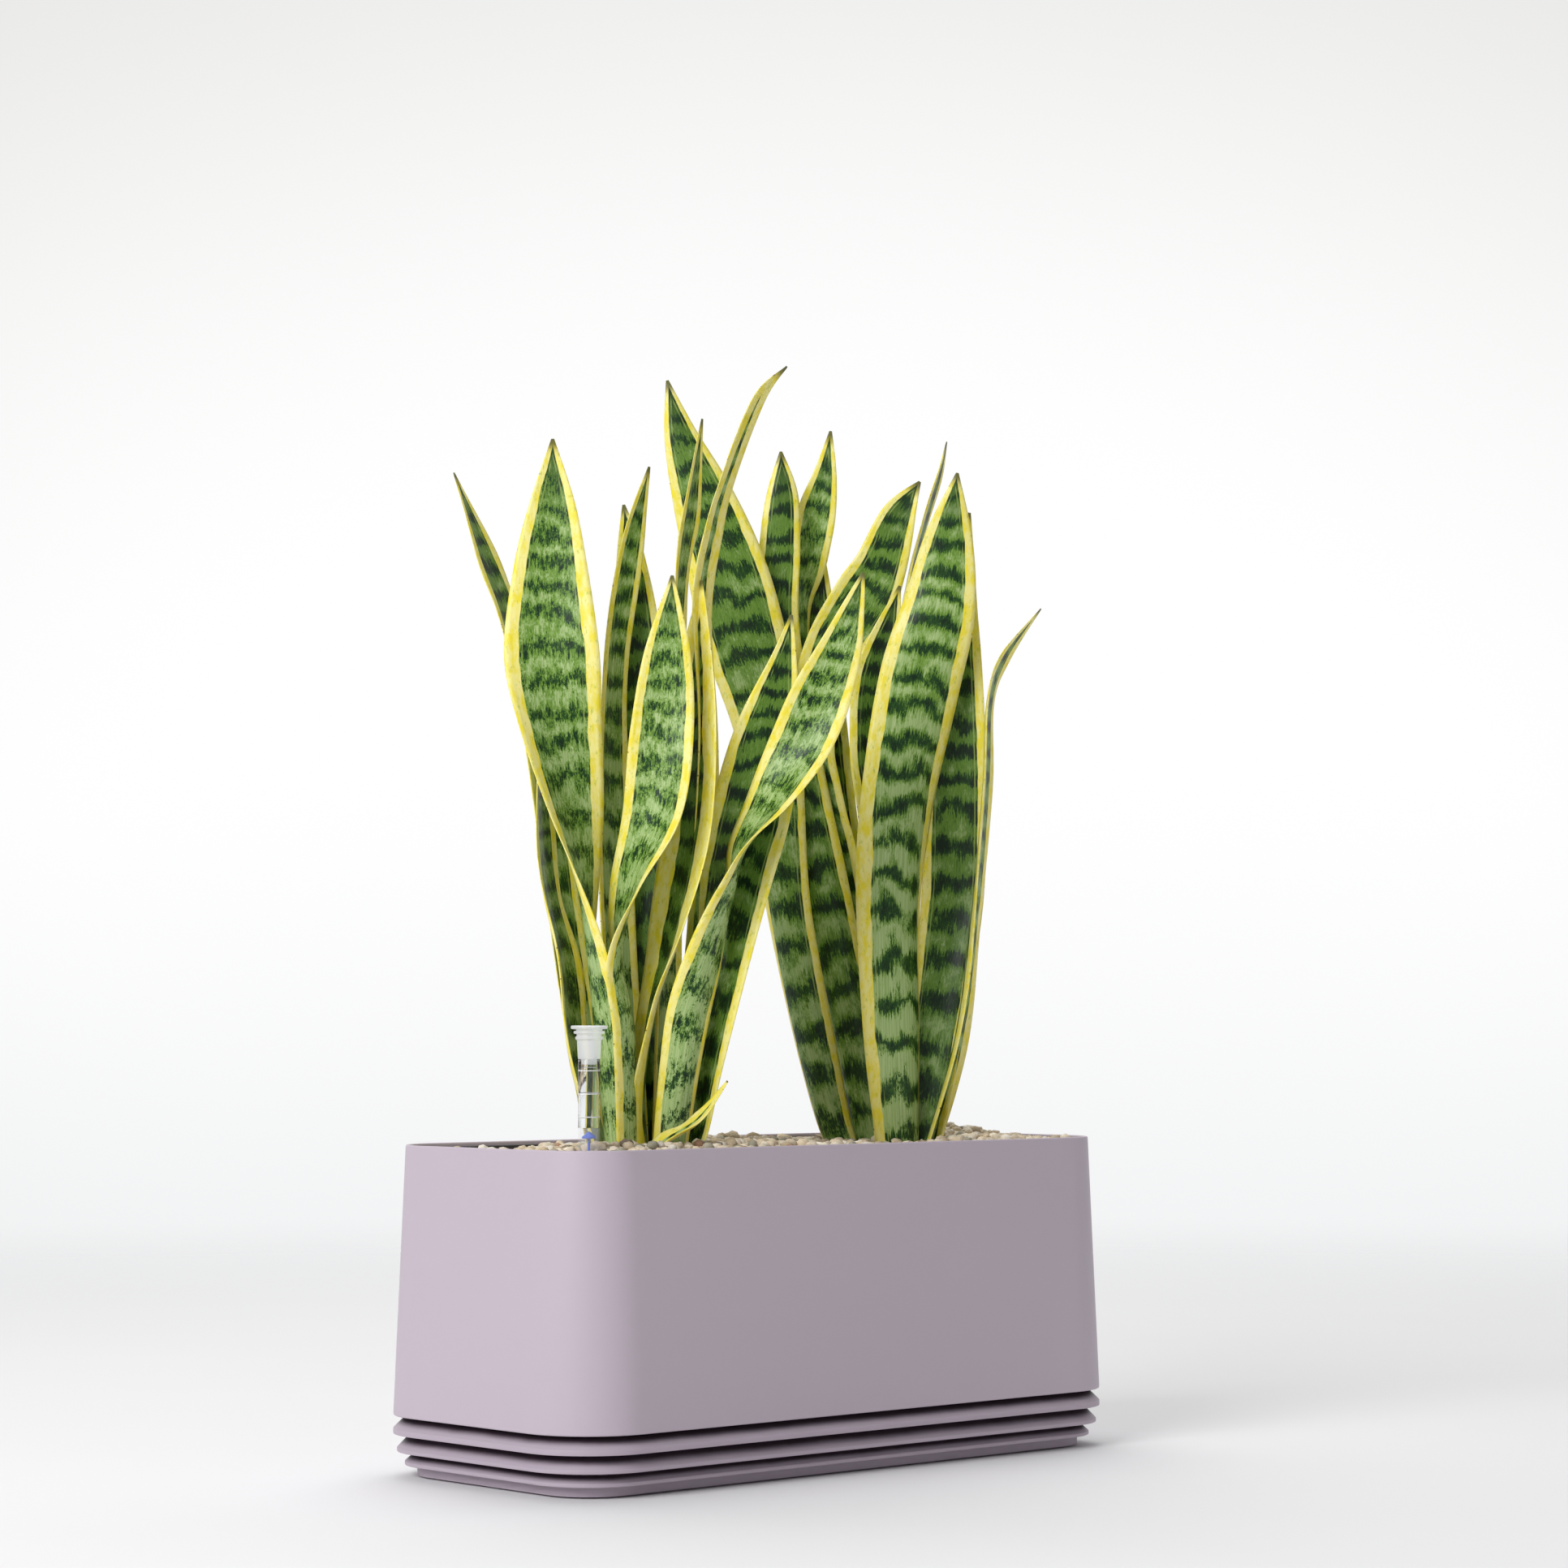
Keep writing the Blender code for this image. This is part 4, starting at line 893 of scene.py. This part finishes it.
def make_pot():
    """Inner pot; its dark edge shows between the rim and the pebbles."""
    def taper(z):
        return 28.2 + (17.4 - 28.2) * (z - 62.5) / (199.5 - 62.5)
    profile = [(29, POT_UNDER), (26, 60.5), (15.2, 199.8), (15.2, 201.3), (10.3, 201.3), (10.3, 203.8),
               (12.2, 204.2), (11.4, 213.0), (11.9, 213.4), (12.9, 213.4), (13.4, 213.0), (14.4, 204),
               (taper(199.5), 199.5), (taper(62.5), 62.5), (30.2, POT_FLOOR)]
    bm = swept(scaled(profile), closed=False)
    # The gauge passes through a hole in the floor.
    rings = []
    for height in (POT_UNDER * MM, POT_FLOOR * MM):
        floor = next(face for face in bm.faces
                     if len(face.verts) > 4 and abs(face.calc_center_median().z - height) < 1e-5)
        outline = list(floor.edges)
        bmesh.ops.delete(bm, geom=[floor], context="FACES_ONLY")
        made = bmesh.ops.create_circle(bm, segments=TURN_STEPS, radius=TUBE_HOLE,
                                       matrix=Matrix.Translation((GAUGE_X, GAUGE_Y, height)))
        ring = list(dict.fromkeys(edge for vert in made["verts"] for edge in vert.link_edges))
        bmesh.ops.triangle_fill(bm, use_beauty=True, edges=outline + ring)
        rings += ring
    bmesh.ops.bridge_loops(bm, edges=rings)
    bmesh.ops.recalc_face_normals(bm, faces=bm.faces)
    return add_piece("grow_pot_moulding", bm, dark_finish(), "grow_pot", ["inner_pot"])


def make_gauge():
    """Frosted tube, clear window with graduation rings, stepped cap and blue indicator."""
    # Both frosted pieces carry a faint painted glow for light passing through them.
    milky, frosted = frosted_finish("milky_tube", 0.10, 0.1), frosted_finish("frosted_plastic", 0.42, 0.16)
    clear, blue = clear_finish(), blue_finish()
    tube = [(3.5, 9.0), (6.6, 9.0), (6.9, 9.3), (6.9, 205.3), (9.2, 205.3), (9.2, 207.5), (6.9, 207.5),
            (6.9, 229.0), (5.7, 229.0), (5.7, 11.0), (3.5, 11.0)]
    add_piece("gauge_tube_moulding", turned(scaled(tube), GAUGE_X, GAUGE_Y), milky, "gauge",
              ["gauge_tube"])
    window = [(5.7, 229.3), (6.8, 229.3), (6.9, 229.5), (6.9, 272.4), (6.8, 272.6), (5.8, 272.6),
              (5.7, 272.4)]
    add_piece("gauge_window_tube", turned(scaled(window), GAUGE_X, GAUGE_Y), clear, "gauge",
              ["gauge_window"])
    cap = [(0, 268.9), (5.0, 268.9), (5.4, 269.9), (5.4, 272.9), (7.1, 272.9), (7.3, 275.0), (7.8, 284.5),
           (8.6, 285.2), (8.9, 285.5), (8.9, 286.8), (8.6, 287.1), (8.0, 287.4), (8.0, 288.5), (9.6, 288.8),
           (9.9, 289.1), (9.9, 290.2), (9.6, 290.5), (8.2, 290.8), (8.3, 291.5), (11.3, 291.8), (11.7, 292.1),
           (11.7, 293.6), (11.3, 294.0), (10.2, 294.0), (9.7, 293.4), (0, 293.2)]
    add_piece("gauge_cap_moulding", turned(scaled(cap), GAUGE_X, GAUGE_Y), frosted, "gauge_cap",
              ["gauge_cap"])
    marks = bmesh.new()
    for height in MARK_HEIGHTS:
        low, high = height - MARK_HALF, height + MARK_HALF
        ring = turned(scaled([(6.85, low), (7.02, low), (7.02, high), (6.85, high)]), GAUGE_X, GAUGE_Y)
        mesh = bpy.data.meshes.new("mark")
        ring.to_mesh(mesh)
        ring.free()
        marks.from_mesh(mesh)
        bpy.data.meshes.remove(mesh)
    add_piece("gauge_marks", marks, print_finish(), "gauge")
    marker = [(0, 220.8), (0.9, 220.8), (1.1, 221.9), (1.6, 222.3), (4.3, 222.5), (4.6, 222.8), (4.5, 223.6),
              (3.6, 224.4), (2.2, 225.4), (1.2, 226.4), (0.6, 226.8), (0, 226.9)]
    add_piece("float_indicator", turned(scaled(marker), GAUGE_X, GAUGE_Y, 32), blue, "float",
              ["float_marker"])
    stem = [(0, 52.3), (0.7, 52.3), (0.85, 52.5), (0.85, 220.3), (0.7, 220.5), (0, 220.5)]
    add_piece("float_rod", turned(scaled(stem), GAUGE_X, GAUGE_Y, 20), blue, "float",
              ["float_stem"])


def make_hidden_pieces():
    """Pieces inside the planter, seen only when it is taken apart."""
    dark, felt = dark_finish(), felt_finish()
    for node in ("left_wick_cup", "right_wick_cup", "drainage_grid", "gauge_sleeve"):
        make_smooth_copy(node, "grow_pot", dark)
    for node in ("left_wick", "right_wick", "separating_fleece"):
        make_smooth_copy(node, "grow_pot", felt)
    make_smooth_copy("growing_medium", "grow_pot", medium_finish())
    make_smooth_copy("float_body", "float", foam_finish())
    rubber = rubber_finish()
    for number in range(1, 5):
        make_smooth_copy(f"foot_pad_{number}", "base", rubber)


def make_camera():
    camera = bpy.data.cameras.new("camera")
    camera.lens = CAMERA_LENS
    camera.sensor_width = 36.0
    camera.clip_end = 50.0
    holder = bpy.data.objects.new("camera", camera)
    holder.location = CAMERA_PLACE
    turn = (Matrix.Rotation(-CAMERA_HEADING, 4, "Z") @ Matrix.Rotation(math.radians(90) + CAMERA_RISE, 4, "X")
            @ Matrix.Rotation(CAMERA_ROLL, 4, "Z"))
    holder.rotation_euler = turn.to_euler()
    bpy.context.scene.collection.objects.link(holder)
    bpy.context.scene.camera = holder


def add_light(name, place, target, size, power, colour=(1.0, 1.0, 1.0)):
    light = bpy.data.lights.new(name, "AREA")
    light.shape = "DISK"
    light.size = size
    light.energy = power
    light.color = colour
    holder = bpy.data.objects.new(name, light)
    holder.location = place
    holder.rotation_euler = (Vector(target) - Vector(place)).to_track_quat("-Z", "Y").to_euler()
    bpy.context.scene.collection.objects.link(holder)


def stage_piece(name, bm, finish):
    mesh = bpy.data.meshes.new(name)
    bm.to_mesh(mesh)
    bm.free()
    mesh.materials.append(finish)
    piece = bpy.data.objects.new(name, mesh)
    bpy.context.scene.collection.objects.link(piece)


def make_studio():
    """Pale floor that runs out into a bright backdrop, and soft light, mostly from the left."""
    bm = bmesh.new()
    bmesh.ops.create_circle(bm, cap_ends=True, segments=64, radius=9.0)
    finish = Finish("studio_floor", Specular_IOR_Level=0.1)
    place = finish.place()
    grain = finish.noise(place, 3.0, 2.0)
    away = finish.node("ShaderNodeVectorMath", {"operation": "LENGTH"}, {0: place}, 1)
    fade = 1.0 - away.step(0.7, 3.4)
    stage_piece("studio_floor", bm, finish.feed(
        Base_Color=finish.mix(grain, (0.81, 0.81, 0.82), (0.83, 0.83, 0.84)),
        Roughness=0.85 + (grain - 0.5) * 0.05, Alpha=fade))

    bm = bmesh.new()
    bmesh.ops.create_grid(bm, x_segments=2, y_segments=2, size=1.0)
    turn = Matrix.Rotation(-CAMERA_HEADING, 4, "Z") @ Matrix.Rotation(math.radians(90), 4, "X")
    reach = Vector((math.sin(CAMERA_HEADING), math.cos(CAMERA_HEADING), 0.0)) * BACKDROP_AWAY
    bmesh.ops.transform(bm, matrix=Matrix.Translation(reach) @ turn @ Matrix.Scale(9.0, 4), verts=bm.verts)
    # The backdrop glows as painted light: brightest at its middle, greyer towards its edges and its lower
    # part.
    finish = Finish("studio_backdrop", Base_Color=(0.0, 0.0, 0.0, 1.0), Specular_IOR_Level=0.0,
                    Emission_Strength=1.0)
    place = finish.place()
    centred = finish.node("ShaderNodeVectorMath", {"operation": "SUBTRACT"}, {0: place, 1: BACKDROP_MIDDLE})
    squashed = finish.stretch(centred, (0.62, 0.62, 1.0))
    away = finish.node("ShaderNodeVectorMath", {"operation": "LENGTH"}, {0: squashed}, 1)
    paper = finish.noise(place, 0.8, 2.0)
    glow = finish.mix(away.step(0.7, 2.3) + (paper - 0.5) * 0.02, (1.0, 1.0, 1.0), (0.78, 0.775, 0.76))
    height = finish.node("ShaderNodeSeparateXYZ", {}, {0: place}, 2)
    glow = finish.mix(1.0 - height.step(-0.6, 0.8), glow, (0.84, 0.85, 0.86))
    stage_piece("studio_backdrop", bm, finish.feed(Emission_Color=glow))

    world = bpy.data.worlds.new("studio")
    world.use_nodes = True
    background = world.node_tree.nodes["Background"]
    background.inputs["Color"].default_value = (1.0, 1.0, 1.0, 1.0)
    background.inputs["Strength"].default_value = 0.345
    bpy.context.scene.world = world
    add_light("key_left", (-3.6, -0.78, 2.3), (0.0, 0.0, 0.25), 2.6, 120.0)
    add_light("top_soft", (0.6, 0.9, 3.4), (0.0, 0.0, 0.2), 2.6, 46.0)
    bpy.context.scene.view_settings.view_transform = "Standard"


make_camera()
make_studio()
make_shell()
make_louvres()
make_base_frame()
make_tray()
make_pot()
make_hidden_pieces()
make_gauge()
all_leaves = make_plants()
make_bed()
make_pebbles(all_leaves)
